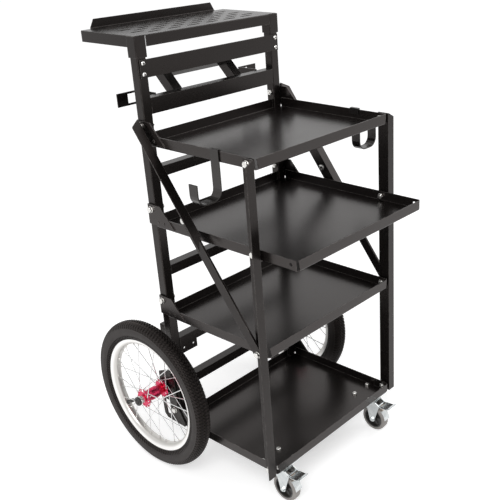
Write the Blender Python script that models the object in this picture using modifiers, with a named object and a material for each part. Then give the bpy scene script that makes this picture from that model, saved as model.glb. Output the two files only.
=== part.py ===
import math

import bmesh
import bpy
from mathutils import Matrix, Vector

# Sound cart, in metres, +Z up, floor at z = 0.
# It is modelled with the shelves' front lips at y = 0, the tall frame and the large wheels at +Y,
# and moved at the end so that it stands over the origin.

# Gaps
GAP = 0.0003
RUNNING_GAP = 0.0004
HOLE_PLAY = 0.0003

# Tall rear frame
UPRIGHT_SIDE = 0.025
UPRIGHT_WALL = 0.002
UPRIGHT_SPREAD = 0.4488
UPRIGHT_SET_IN = 0.0081
UPRIGHT_FOOT = 0.100
UPRIGHT_CORNER = 0.0025
REST_BLOCK_BOTTOM = 0.364
REST_BLOCK_HEIGHT = 0.024
REST_BLOCK_REACH = 0.020

# Cross members between the uprights: bottom edge and height of each
PANEL_DROP = 0.0919
PANEL_HEIGHT = 0.0400
PANEL_SHEET = 0.003
PANEL_OVERHANG = 0.0035
PANEL_SCREW_RADIUS = 0.0048
PANEL_SCREW_HEIGHT = 0.0026
PANEL_SCREW_INSET = 0.0078
SLAT_2_BOTTOM = 0.9295
SLAT_2_HEIGHT = 0.0368
SLAT_3_BOTTOM = 0.7790
SLAT_4_BOTTOM = 0.5290
BRACKET_BEAM_BOTTOM = 0.3260
LOWER_BEAM_BOTTOM = 0.2020
HANGING_PLATE_WIDTH = 0.054
HANGING_PLATE_DROP = 0.023
HANGING_PLATE_SHEET = 0.003
HANGING_HOLE_RADIUS = 0.0030
HANGING_HOLE_SPACING = 0.031

# Top tray, flanges downwards
DECK_TOP = 1.1045
DECK_SHEET = 0.0018
DECK_DEPTH = 0.202
DECK_FLANGE = 0.0250
DECK_LIP_HALF_FOOT = 0.196
DECK_LIP_HALF_TOP = 0.184
DECK_LIP_HEIGHT = 0.021
SLEEVE_WALL = 0.0030
SLEEVE_LENGTH = 0.0475
SLOT_LENGTH = 0.040
SLOT_WIDTH = 0.009
SLOT_PITCH_X = 0.058
SLOT_ROWS = 7
SLOT_COLUMNS = 7
SLOT_FRONT_EDGE = 0.0311
SLOT_REAR_EDGE = 0.0209

# Push handle behind the second cross member: two slanting tubes and a crossbar
HANDLE_TUBE = 0.025
HANDLE_WALL = 0.002
HANDLE_ARM_X = 0.0985
HANDLE_LENGTH = 0.077
HANDLE_SLOPE = 45

# Cable hangers behind the second cross member
HANGER_SHEET = 0.0025
HANGER_HEIGHT = 0.0315
HANGER_TOP = 0.969
HANGER_INNER = 0.1640
HANGER_OUTER = 0.2260
HANGER_REACH = 0.066
HANGER_WINDOW_HEIGHT = 0.022
HANGER_WINDOW_WIDTH = 0.025
HANGER_WINDOW_INSET = 0.005

# Shelf trays
TRAY_SHEET = 0.0015
TRAY_DEPTH = 0.354
DEEP_TRAY_EXTRA = 0.100
LIP_HEIGHT = 0.0246
TRAY_BEND = 0.0022
CORNER_NOTCH_SIDE = 0.0035
CORNER_NOTCH_FRONT = 0.0090
CORNER_NOTCH_TOP = 0.0045
SHELF_1_BOTTOM = 0.8624
SHELF_2_BOTTOM = 0.6629
SHELF_3_BOTTOM = 0.4230
SHELF_4_BOTTOM = 0.1029

# Rear pivots of the shelves
PIVOT_RISE = 0.0424
PIVOT_PLATE = 0.0025
PIVOT_PLATE_REAR = 0.0105
PIVOT_PLATE_TOP = 0.0130
PIVOT_PLATE_TOP_REACH = 0.0330
PIVOT_PLATE_FOOT_REACH = 0.0777
PIVOT_PLATE_FOOT_RISE = 0.0056
PLATE_RIVET_RADIUS = 0.0035
PLATE_RIVET_HEIGHT = 0.0010

# Bolts
BOLT_RADIUS = 0.004
BOLT_ACROSS_FLATS = 0.013
BOLT_HEAD = 0.0050
BOLT_NUT = 0.0060
BOLT_TAIL = 0.0020
BOLT_STEPS = 10
WASHER_RADIUS = 0.0080
WASHER_HEIGHT = 0.0013
COLLAR_RADIUS = 0.0068

# Front posts
POST_SIDE_LEG = 0.0306
POST_FRONT_LEG = 0.0225
POST_WALL = 0.0025
POST_SPACE = 0.0050
POST_SLOPE = 0.0115
FRONT_BOLT_INSET = 0.0183
FRONT_BOLT_RISE = 0.0130

# Folding stays, measured along the stay from its top pivot and across it towards the front
STAY_SPACE = 0.0023
STAY_SHEET = 0.0020
STAY_HALF_WIDTH = 0.0142
STAY_FLANGE_REACH = 0.0240
STAY_TOP_REAR = -0.0097
STAY_TOP_FRONT = -0.0130
STAY_TOP_SLOPE = 0.0150
STAY_WEB_END = 0.2830
STAY_WEB_BULGE = 0.0090
STAY_FLANGE_END = 0.3187
STAY_FLANGE_CURVE = 0.0030
ELBOW_ALONG = 0.2365
ELBOW_ACROSS = -0.0025
ELBOW_HEAD_RADIUS = 0.0080
ELBOW_HEAD_HEIGHT = 0.0032
ELBOW_NUT_HEIGHT = 0.0064
BAR_SHEET = 0.0053
BAR_HALF_WIDTH = 0.0120
PIVOT_SPACER_RADIUS = 0.0105
PIVOT_SPACER_LENGTH = 0.0022

# Hooks on the top shelf's side lips
HOOK_WIDTH = 0.0250
HOOK_SHEET = 0.0030
HOOK_RETURN = 0.0120
HOOK_BOTTOM = 0.7800
HOOK_BEND = 0.0220
HOOK_FLAT = 0.0220
HOOK_TIP_TOP = 0.8290
HOOK_LEFT_Y = 0.1185
HOOK_RIGHT_Y = 0.0975

# Large wheels
WHEEL_RADIUS = 0.2030
WHEEL_SET_BACK = 0.0477
WHEEL_OFFSET = 0.2684
TYRE_HALF_WIDTH = 0.0217
TYRE_WALL = 0.0035
TYRE_BEAD_DEPTH = 0.0060
RIM_RADIUS = 0.1585
RIM_DEPTH = 0.0175
RIM_HALF_WIDTH = 0.0150
RIM_WALL = 0.0017
WHEEL_STEPS = 32
SPOKES_PER_FLANGE = 14
SPOKE_RADIUS = 0.0009
SPOKE_CROSSINGS = 2
SPOKE_FLANGE_ROOM = 0.0016
HUB_FLANGE_OFFSET = 0.0290
HUB_FLANGE_RADIUS = 0.0255
HUB_FLANGE_SHEET = 0.0030
HUB_HOLE_CIRCLE = 0.0220
HUB_HOLE_RADIUS = 0.0013
HUB_WAIST = 0.0125
HUB_BARREL = 0.0155
HUB_BOSS_RADIUS = 0.0105
HUB_BOSS_LENGTH = 0.0030
AXLE_RADIUS = 0.0060
AXLE_NUT_ACROSS = 0.0190
AXLE_NUT_LENGTH = 0.0060
AXLE_CAP_RADIUS = 0.0100
AXLE_CAP_LENGTH = 0.0120
VALVE_RADIUS = 0.0030
VALVE_LENGTH = 0.0300
VALVE_TURN = 57.86

# Axle plates
AXLE_PLATE_SHEET = 0.0030
AXLE_PLATE_TOP = 0.0560
AXLE_PLATE_REAR = 0.0140
AXLE_PAD_BOTTOM = 0.1940
AXLE_PLATE_SET_IN = 0.0020
AXLE_PLATE_FRONT = 0.0120
AXLE_PLATE_SHOULDER = 0.0040
AXLE_PLATE_HEEL = 0.0300
AXLE_PLATE_FOOT = 0.0400
AXLE_PLATE_TOE = 0.0220
AXLE_BOLT_INSET = 0.0120
AXLE_WINDOW_TOP = 0.0350
AXLE_WINDOW_FOOT = 0.0170
AXLE_SHOULDER = 0.0040
AXLE_BOLT_HEAD = 0.0030

# Casters
CASTER_X = 0.1833
CASTER_Y = 0.0380
CASTER_TRAIL = 0.0250
CASTER_RADIUS = 0.0375
CASTER_WIDTH = 0.0240
CASTER_PLATE_X = 0.0800
CASTER_PLATE_Y = 0.0720
CASTER_PLATE_SHEET = 0.0025
CASTER_BOLTS_X = 0.0570
CASTER_BOLTS_Y = 0.0500
CASTER_BOLT_RADIUS = 0.0030
CASTER_NUT_ACROSS = 0.0100
CASTER_NUT_HEIGHT = 0.0050
SWIVEL_RADIUS = 0.0230
SWIVEL_HEIGHT = 0.0060
KINGPIN_RADIUS = 0.0050
FORK_SHEET = 0.0025
FORK_SIDE_PLAY = 0.0015
FORK_STEP = 0.0004
TREAD_DEPTH = 0.0095
CORE_WEB = 0.0060
CASTER_AXLE_RADIUS = 0.0035
CASTER_BOSS_RADIUS = 0.0085
CASTER_HEAD_HEIGHT = 0.0035
FORK_AHEAD = 0.0140
PEDAL_SHEET = 0.0018
PEDAL_WIDTH = 0.0340
PEDAL_REACH = 0.0300
PEDAL_LIP_REACH = 0.0390
PEDAL_LIP_RISE = 0.0075
PEDAL_EAR = 0.0020
PEDAL_EAR_RADIUS = 0.0045
PEDAL_HINGE_AHEAD = 0.0190
PEDAL_HINGE_DROP = 0.0080
PEDAL_PIN_RADIUS = 0.0020

# Derived places
UPRIGHT_FRONT = TRAY_DEPTH - UPRIGHT_SET_IN
HALF_SPREAD = UPRIGHT_SPREAD / 2
UPRIGHT_INNER = HALF_SPREAD - UPRIGHT_SIDE
UPRIGHT_REAR = UPRIGHT_FRONT + UPRIGHT_SIDE
TRAY_HALF_WIDTH = HALF_SPREAD + GAP + TRAY_SHEET
PIVOT_Y = UPRIGHT_FRONT + UPRIGHT_SIDE / 2
WHEEL_Y = UPRIGHT_FRONT + WHEEL_SET_BACK
PANEL_BOTTOM = DECK_TOP - PANEL_DROP
DECK_HALF_WIDTH = HALF_SPREAD + 2 * GAP + DECK_SHEET
SLOT_PITCH_Y = (DECK_DEPTH - SLOT_FRONT_EDGE - SLOT_REAR_EDGE) / (SLOT_ROWS - 1)
PLATE_OUTER = TRAY_HALF_WIDTH + PIVOT_PLATE
POST_INNER = TRAY_HALF_WIDTH + POST_SPACE
POST_OUTER = POST_INNER + POST_WALL
STAY_INNER = POST_OUTER + STAY_SPACE
STAY_WEB_OUTER = STAY_INNER + STAY_SHEET
BAR_INNER = STAY_WEB_OUTER + GAP
BAR_OUTER = BAR_INNER + BAR_SHEET
AXLE_PLATE_INNER = PLATE_OUTER + RUNNING_GAP
AXLE_PLATE_OUTER = AXLE_PLATE_INNER + AXLE_PLATE_SHEET
BOLT_HOLE = BOLT_RADIUS + HOLE_PLAY
SHELF_BOTTOMS = (SHELF_1_BOTTOM, SHELF_2_BOTTOM, SHELF_3_BOTTOM, SHELF_4_BOTTOM)
PIVOT_HEIGHTS = [bottom + PIVOT_RISE for bottom in SHELF_BOTTOMS]
FRONT_BOLT_HEIGHTS = [bottom + FRONT_BOLT_RISE for bottom in SHELF_BOTTOMS]
STAY_TOP = Vector((PIVOT_Y, PIVOT_HEIGHTS[0]))
STAY_FOOT = Vector((FRONT_BOLT_INSET, FRONT_BOLT_HEIGHTS[2]))
STAY_DIRECTION = (STAY_FOOT - STAY_TOP).normalized()
STAY_SIDEWAYS = Vector((STAY_DIRECTION.y, -STAY_DIRECTION.x))
SIDES = (("left", -1), ("right", 1))

BLACK = (0.012, 0.011, 0.010, 1.0)
ZINC = (0.62, 0.62, 0.60, 1.0)
RED = (0.55, 0.02, 0.05, 1.0)
RUBBER = (0.025, 0.023, 0.021, 1.0)
GREY = (0.22, 0.20, 0.19, 1.0)


def clear_scene():
    for obj in list(bpy.data.objects):
        bpy.data.objects.remove(obj, do_unlink=True)


def collection_named(name):
    collection = bpy.data.collections.new(name)
    bpy.context.scene.collection.children.link(collection)
    return collection


clear_scene()
CART = collection_named("sound_cart")
CUTTERS = collection_named("cutters")


# Shapes

def circle(x, y, radius, steps=BOLT_STEPS):
    turns = [2 * math.pi * (step + 0.5) / steps for step in range(steps)]
    return [(x + radius * math.cos(turn), y + radius * math.sin(turn)) for turn in turns]


def arc(x, y, radius, start, end, steps):
    turns = [math.radians(start + (end - start) * step / steps) for step in range(steps + 1)]
    return [(x + radius * math.cos(turn), y + radius * math.sin(turn)) for turn in turns]


def rectangle(x0, x1, y0, y1):
    return [(x0, y0), (x1, y0), (x1, y1), (x0, y1)]


def rounded_square(x, y, half, corner):
    points = []
    for turn, (sx, sy) in zip((0, 90, 180, 270), ((1, 1), (-1, 1), (-1, -1), (1, -1))):
        points += arc(x + sx * (half - corner), y + sy * (half - corner), corner, turn, turn + 90, 2)
    return points


def ribbon(path, thickness):
    # Outline of a bent strip with this centre line, mitred at its bends.
    path = [Vector(point) for point in path]
    left = []
    right = []
    for index, point in enumerate(path):
        before = (point - path[index - 1]).normalized() if index else None
        after = (path[index + 1] - point).normalized() if index < len(path) - 1 else None
        before = before or after
        after = after or before
        across = Vector((-(before + after).y, (before + after).x)).normalized()
        reach = thickness / 2 / across.dot(Vector((-before.y, before.x)))
        left.append(point + across * reach)
        right.append(point - across * reach)
    return [tuple(point) for point in left + right[::-1]]


PLANES = {
    "X": Matrix(((0, 0, 1, 0), (1, 0, 0, 0), (0, 1, 0, 0), (0, 0, 0, 1))),
    "Y": Matrix(((1, 0, 0, 0), (0, 0, -1, 0), (0, 1, 0, 0), (0, 0, 0, 1))),
    "Z": Matrix.Identity(4),
}


def object_with(name, mesh, collection):
    obj = bpy.data.objects.new(name, mesh)
    collection.objects.link(obj)
    if collection is CUTTERS:
        obj.hide_render = True
        obj.display_type = "WIRE"
    return obj


def tidy(mesh, smooth_angle=None):
    work = bmesh.new()
    work.from_mesh(mesh)
    bmesh.ops.remove_doubles(work, verts=work.verts, dist=1e-6)
    bmesh.ops.recalc_face_normals(work, faces=work.faces)
    work.to_mesh(mesh)
    work.free()
    if smooth_angle:
        mesh.shade_smooth()
        mesh.set_sharp_from_angle(angle=math.radians(smooth_angle))
    return mesh


def meshed(name, source):
    # Plain mesh of a helper object, in place of the helper.
    bpy.context.view_layer.update()
    graph = bpy.context.evaluated_depsgraph_get()
    mesh = bpy.data.meshes.new_from_object(source.evaluated_get(graph))
    mesh.transform(source.matrix_world)
    data = source.data
    bpy.data.objects.remove(source, do_unlink=True)
    if data.users == 0:
        (bpy.data.curves if isinstance(data, bpy.types.Curve) else bpy.data.meshes).remove(data)
    mesh.name = name
    return mesh


def flat(name, outlines, plane, low, high, collection=None, smooth_angle=None):
    # A flat outline, with any further outlines as holes, as thick as low to high.
    curve = bpy.data.curves.new(name, "CURVE")
    curve.dimensions = "2D"
    curve.fill_mode = "BOTH"
    curve.extrude = abs(high - low) / 2
    for points in outlines:
        spline = curve.splines.new("POLY")
        spline.points.add(len(points) - 1)
        for slot, point in zip(spline.points, points):
            slot.co = (point[0], point[1], 0, 1)
        spline.use_cyclic_u = True
    middle = {"X": (1, 0, 0), "Y": (0, 1, 0), "Z": (0, 0, 1)}[plane]
    helper = object_with(name, curve, CUTTERS)
    helper.matrix_world = Matrix.Translation(Vector(middle) * (low + high) / 2) @ PLANES[plane]
    mesh = tidy(meshed(name, helper), smooth_angle)
    return object_with(name, mesh, collection or CUTTERS)


def block(name, x0, x1, y0, y1, z0, z1, collection=None):
    mesh = bpy.data.meshes.new(name)
    work = bmesh.new()
    bmesh.ops.create_cube(work, size=1)
    size = Matrix.Diagonal((abs(x1 - x0), abs(y1 - y0), abs(z1 - z0), 1))
    place = Matrix.Translation(((x0 + x1) / 2, (y0 + y1) / 2, (z0 + z1) / 2))
    bmesh.ops.transform(work, matrix=place @ size, verts=work.verts)
    work.to_mesh(mesh)
    work.free()
    return object_with(name, mesh, collection or CUTTERS)


def turned(name, profile, axis, x, y, z, steps, collection=None, closed=False):
    # Turns (radius, height) points about an axis through (x, y, z).
    mesh = bpy.data.meshes.new(name)
    edges = [(index, index + 1) for index in range(len(profile) - 1)]
    if closed:
        edges.append((len(profile) - 1, 0))
    mesh.from_pydata([(radius, 0, height) for radius, height in profile], edges, [])
    helper = object_with(name, mesh, CUTTERS)
    screw = helper.modifiers.new("turn", "SCREW")
    screw.steps = steps
    screw.render_steps = steps
    screw.use_merge_vertices = True
    screw.merge_threshold = 1e-5
    if axis == "X":
        helper.matrix_world = Matrix.Translation((x, y, z)) @ Matrix.Rotation(math.pi / 2, 4, "Y")
    else:
        helper.matrix_world = Matrix.Translation((x, y, z))
    result = tidy(meshed(name, helper), 35)
    return object_with(name, result, collection or CUTTERS)


def drum(name, axis, x, y, z, radius, low, high, steps=BOLT_STEPS, collection=None):
    # A round bar along the axis from low to high, measured from (x, y, z).
    profile = [(0, high), (radius, high), (radius, low), (0, low)]
    return turned(name, profile, axis, x, y, z, steps, collection)


def hexagon(y, z, across):
    return circle(y, z, across / math.sqrt(3), 6)


def boolean(obj, other, operation):
    modifier = obj.modifiers.new(other.name, "BOOLEAN")
    modifier.operation = operation
    modifier.solver = "EXACT"
    modifier.object = other
    return obj


def fuse(obj, *others):
    for other in others:
        boolean(obj, other, "UNION")
    return obj


def cut(obj, *others):
    for other in others:
        boolean(obj, other, "DIFFERENCE")
    return obj


def joined(name, objects):
    # One helper holding several separate solids, so that one cut makes a whole pattern.
    work = bmesh.new()
    for obj in objects:
        part = bmesh.new()
        part.from_mesh(obj.data)
        bmesh.ops.transform(part, matrix=obj.matrix_world, verts=part.verts)
        temporary = bpy.data.meshes.new("temporary")
        part.to_mesh(temporary)
        part.free()
        work.from_mesh(temporary)
        bpy.data.meshes.remove(temporary)
        bpy.data.objects.remove(obj, do_unlink=True)
    mesh = bpy.data.meshes.new(name)
    work.to_mesh(mesh)
    work.free()
    return object_with(name, mesh, CUTTERS)


def pulled_out(work, edge):
    # A new face on this edge; gives back its two new corners.
    made = bmesh.ops.extrude_edge_only(work, edges=[edge])["geom"]
    return [item for item in made if isinstance(item, bmesh.types.BMVert)]


def set_origin(obj, x, y, z):
    obj.data.transform(Matrix.Translation((-x, -y, -z)))
    obj.location = (x, y, z)
    return obj


def paint(obj, colour, metallic, roughness):
    material = bpy.data.materials.new(obj.name)
    material.use_nodes = True
    shader = material.node_tree.nodes["Principled BSDF"]
    shader.inputs["Base Color"].default_value = colour
    shader.inputs["Metallic"].default_value = metallic
    shader.inputs["Roughness"].default_value = roughness
    obj.data.materials.clear()
    obj.data.materials.append(material)
    for modifier in obj.modifiers:
        if modifier.type == "BOOLEAN":
            modifier.material_mode = "INDEX"
    return obj


def painted_black(obj):
    return paint(obj, BLACK, 0.0, 0.42)


def zinc_plated(obj):
    return paint(obj, ZINC, 1.0, 0.28)


# Tall rear frame

def upright(side_name, side):
    centre_x = side * (HALF_SPREAD - UPRIGHT_SIDE / 2)
    half = UPRIGHT_SIDE / 2
    outer = rounded_square(centre_x, PIVOT_Y, half, UPRIGHT_CORNER)
    inside = half - UPRIGHT_WALL
    inner = rectangle(centre_x - inside, centre_x + inside, PIVOT_Y - inside, PIVOT_Y + inside)
    top = DECK_TOP - DECK_SHEET - 3 * GAP
    post = flat("upright_" + side_name, [outer, inner], "Z", UPRIGHT_FOOT, top, CART)
    rest = block("rest_block_" + side_name, side * (UPRIGHT_INNER + UPRIGHT_CORNER),
                 side * (HALF_SPREAD - UPRIGHT_CORNER), UPRIGHT_REAR - UPRIGHT_WALL / 2,
                 UPRIGHT_REAR + REST_BLOCK_REACH, REST_BLOCK_BOTTOM, REST_BLOCK_BOTTOM + REST_BLOCK_HEIGHT)
    fuse(post, rest)
    holes = [drum("hole", "X", centre_x, PIVOT_Y, height, BOLT_HOLE, -UPRIGHT_SIDE, UPRIGHT_SIDE)
             for height in PIVOT_HEIGHTS]
    cut(post, joined("upright_holes_" + side_name, holes))
    return painted_black(post)


def cross_tube(name, bottom, height):
    half = UPRIGHT_INNER - GAP
    outer = rectangle(UPRIGHT_FRONT, UPRIGHT_REAR, bottom, bottom + height)
    inner = rectangle(UPRIGHT_FRONT + UPRIGHT_WALL, UPRIGHT_REAR - UPRIGHT_WALL,
                      bottom + UPRIGHT_WALL, bottom + height - UPRIGHT_WALL)
    return flat(name, [outer, inner], "X", -half, half, CART)


def top_panel():
    # The flat bar screwed across the front of the uprights, with its four screw heads.
    half = HALF_SPREAD - PANEL_OVERHANG
    rear = UPRIGHT_FRONT - GAP
    front = rear - PANEL_SHEET
    top = PANEL_BOTTOM + PANEL_HEIGHT
    panel = flat("slat_1", [rectangle(-half, half, PANEL_BOTTOM, top)], "Y", front, rear, CART)
    screw_x = HALF_SPREAD - UPRIGHT_SIDE / 2
    for x in (-screw_x, screw_x):
        for height in (PANEL_BOTTOM + PANEL_SCREW_INSET, top - PANEL_SCREW_INSET):
            radius = PANEL_SCREW_RADIUS
            dome = [(0, PANEL_SCREW_HEIGHT), (radius * 0.6, PANEL_SCREW_HEIGHT * 0.8),
                    (radius, PANEL_SCREW_HEIGHT * 0.2), (radius, -PANEL_SHEET / 2), (0, -PANEL_SHEET / 2)]
            head = turned("panel_screw", dome, "Z", 0, 0, 0, BOLT_STEPS)
            head.data.transform(Matrix.Rotation(math.pi / 2, 4, "X"))
            head.data.transform(Matrix.Translation((x, front, height)))
            fuse(panel, head)
    return painted_black(panel)


def bracket_beam():
    beam = cross_tube("bracket_beam", BRACKET_BEAM_BOTTOM, UPRIGHT_SIDE)
    for side_name, side in SIDES:
        outer = side * (UPRIGHT_INNER - GAP)
        inner = outer - side * HANGING_PLATE_WIDTH
        top = BRACKET_BEAM_BOTTOM + UPRIGHT_WALL / 2
        bottom = BRACKET_BEAM_BOTTOM - HANGING_PLATE_DROP
        outline = rectangle(min(outer, inner), max(outer, inner), bottom, top)
        middle = (outer + inner) / 2
        height = BRACKET_BEAM_BOTTOM - HANGING_PLATE_DROP * 0.4
        holes = [circle(middle + step * HANGING_HOLE_SPACING / 2, height, HANGING_HOLE_RADIUS, 10)
                 for step in (-1, 1)]
        front = UPRIGHT_FRONT
        plate = flat("hanging_plate_" + side_name, [outline] + holes, "Y", front,
                     front + HANGING_PLATE_SHEET)
        fuse(beam, plate)
    return painted_black(beam)


def top_tray():
    # Deck with down-turned flanges, a raised rear lip and two sleeves over the uprights.
    front = UPRIGHT_FRONT - SLEEVE_WALL
    rear = front + DECK_DEPTH
    half = DECK_HALF_WIDTH
    mesh = bpy.data.meshes.new("top_tray")
    work = bmesh.new()
    corner = CORNER_NOTCH_SIDE
    foot = DECK_LIP_HALF_FOOT
    edge = rear - corner
    outline = [(-foot, front), (foot, front), (foot, front + corner), (half - corner, front + corner),
               (half, front + 2 * corner), (half, edge - corner), (half - corner, edge), (foot, edge),
               (foot, rear), (-foot, rear), (-foot, edge), (-half + corner, edge), (-half, edge - corner),
               (-half, front + 2 * corner), (-half + corner, front + corner), (-foot, front + corner)]
    verts = [work.verts.new((x, y, DECK_TOP)) for x, y in outline]
    work.faces.new(verts)
    folds = [(verts[0], verts[1]), (verts[4], verts[5]), (verts[12], verts[13]), (verts[8], verts[9])]
    for pair in folds:
        raised = pulled_out(work, work.edges.get(pair))
        if pair is folds[3]:
            bmesh.ops.translate(work, vec=(0, 0, DECK_LIP_HEIGHT), verts=raised)
            bmesh.ops.scale(work, vec=(DECK_LIP_HALF_TOP / DECK_LIP_HALF_FOOT, 1, 1), verts=raised)
        else:
            bmesh.ops.translate(work, vec=(0, 0, -DECK_FLANGE), verts=raised)
    bends = [work.edges.get(pair) for pair in folds]
    bmesh.ops.bevel(work, geom=bends, offset=TRAY_BEND, segments=2, profile=0.5, affect="EDGES")
    work.to_mesh(mesh)
    work.free()
    deck = object_with("top_tray", mesh, CART)
    if mesh.polygons[0].normal.z < 0:
        mesh.flip_normals()
    solidify = deck.modifiers.new("sheet", "SOLIDIFY")
    solidify.thickness = DECK_SHEET
    solidify.offset = -1
    solidify.use_even_offset = True
    for side_name, side in SIDES:
        centre_x = side * (HALF_SPREAD - UPRIGHT_SIDE / 2)
        room = UPRIGHT_SIDE / 2 + GAP
        outside = UPRIGHT_SIDE / 2 + SLEEVE_WALL - GAP
        outer = rounded_square(centre_x, PIVOT_Y, outside, UPRIGHT_CORNER)
        inner = rectangle(centre_x - room, centre_x + room, PIVOT_Y - room, PIVOT_Y + room)
        low = DECK_TOP - SLEEVE_LENGTH
        sleeve = flat("sleeve_" + side_name, [outer, inner], "Z", low, DECK_TOP - DECK_SHEET / 2)
        fuse(deck, sleeve)
    slots = []
    for row in range(SLOT_ROWS):
        y = front + SLOT_FRONT_EDGE + row * SLOT_PITCH_Y
        count = SLOT_COLUMNS - (row + 1) % 2
        for column in range(count):
            x = (column - (count - 1) / 2) * SLOT_PITCH_X
            straight = (SLOT_LENGTH - SLOT_WIDTH) / 2
            outline = arc(x + straight, y, SLOT_WIDTH / 2, -90, 90, 2)
            outline += arc(x - straight, y, SLOT_WIDTH / 2, 90, 270, 2)
            slots.append(flat("slot", [outline], "Z", DECK_TOP - 2 * DECK_SHEET, DECK_TOP + DECK_SHEET))
    cut(deck, joined("deck_slots", slots))
    return painted_black(deck)


def handle_outline(inset, foot):
    # The two arms and the crossbar seen square on: across the cart, and along the arms' slope.
    outer = HANDLE_ARM_X + HANDLE_TUBE / 2 - inset
    inner = HANDLE_ARM_X - HANDLE_TUBE / 2 + inset
    far = HANDLE_LENGTH - inset
    near = HANDLE_LENGTH - HANDLE_TUBE + inset
    return [(-outer, foot), (-inner, foot), (-inner, near), (inner, near), (inner, foot), (outer, foot),
            (outer, far), (-outer, far)]


def push_handle():
    # Square tube, open at its two feet, which are cut upright to meet the cross member.
    turn = math.radians(HANDLE_SLOPE)
    start_y = UPRIGHT_REAR + GAP
    start_z = SLAT_2_BOTTOM + SLAT_2_HEIGHT
    foot = -2 * HANDLE_TUBE
    handle = flat("push_handle", [handle_outline(0, foot)], "Z", -HANDLE_TUBE, 0, CART)
    hollow = flat("handle_hollow", [handle_outline(HANDLE_WALL, foot - HANDLE_WALL)], "Z",
                  HANDLE_WALL - HANDLE_TUBE, -HANDLE_WALL)
    for piece in (handle, hollow):
        piece.data.transform(Matrix.Translation((0, start_y, start_z)) @ Matrix.Rotation(turn, 4, "X"))
    reach = 4 * HANDLE_TUBE
    front = block("handle_front", -2 * HANDLE_ARM_X, 2 * HANDLE_ARM_X, start_y - reach, start_y,
                  start_z - reach, start_z + reach)
    return painted_black(cut(handle, hollow, front))


def cable_hanger(side_name, side):
    # A strap fixed behind the second cross member and turned outwards, with a window.
    middle = HANGER_SHEET / 2
    rear = UPRIGHT_REAR + HANGER_REACH
    arm = side * (HANGER_INNER + middle)
    path = [(arm, UPRIGHT_REAR + GAP), (arm, rear - middle), (side * HANGER_OUTER, rear - middle)]
    low = HANGER_TOP - HANGER_HEIGHT
    strap_line = ribbon(path, HANGER_SHEET)
    strap = flat("cable_hanger_" + side_name, [strap_line], "Z", low, low + HANGER_HEIGHT, CART)
    inner = side * (HANGER_INNER + HANGER_SHEET + HANGER_WINDOW_INSET)
    outer = inner + side * HANGER_WINDOW_WIDTH
    window_low = low + (HANGER_HEIGHT - HANGER_WINDOW_HEIGHT) / 2
    window = block("hanger_window_" + side_name, inner, outer, rear - 3 * HANGER_SHEET,
                   rear + HANGER_SHEET, window_low, window_low + HANGER_WINDOW_HEIGHT)
    return painted_black(cut(strap, window))


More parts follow.
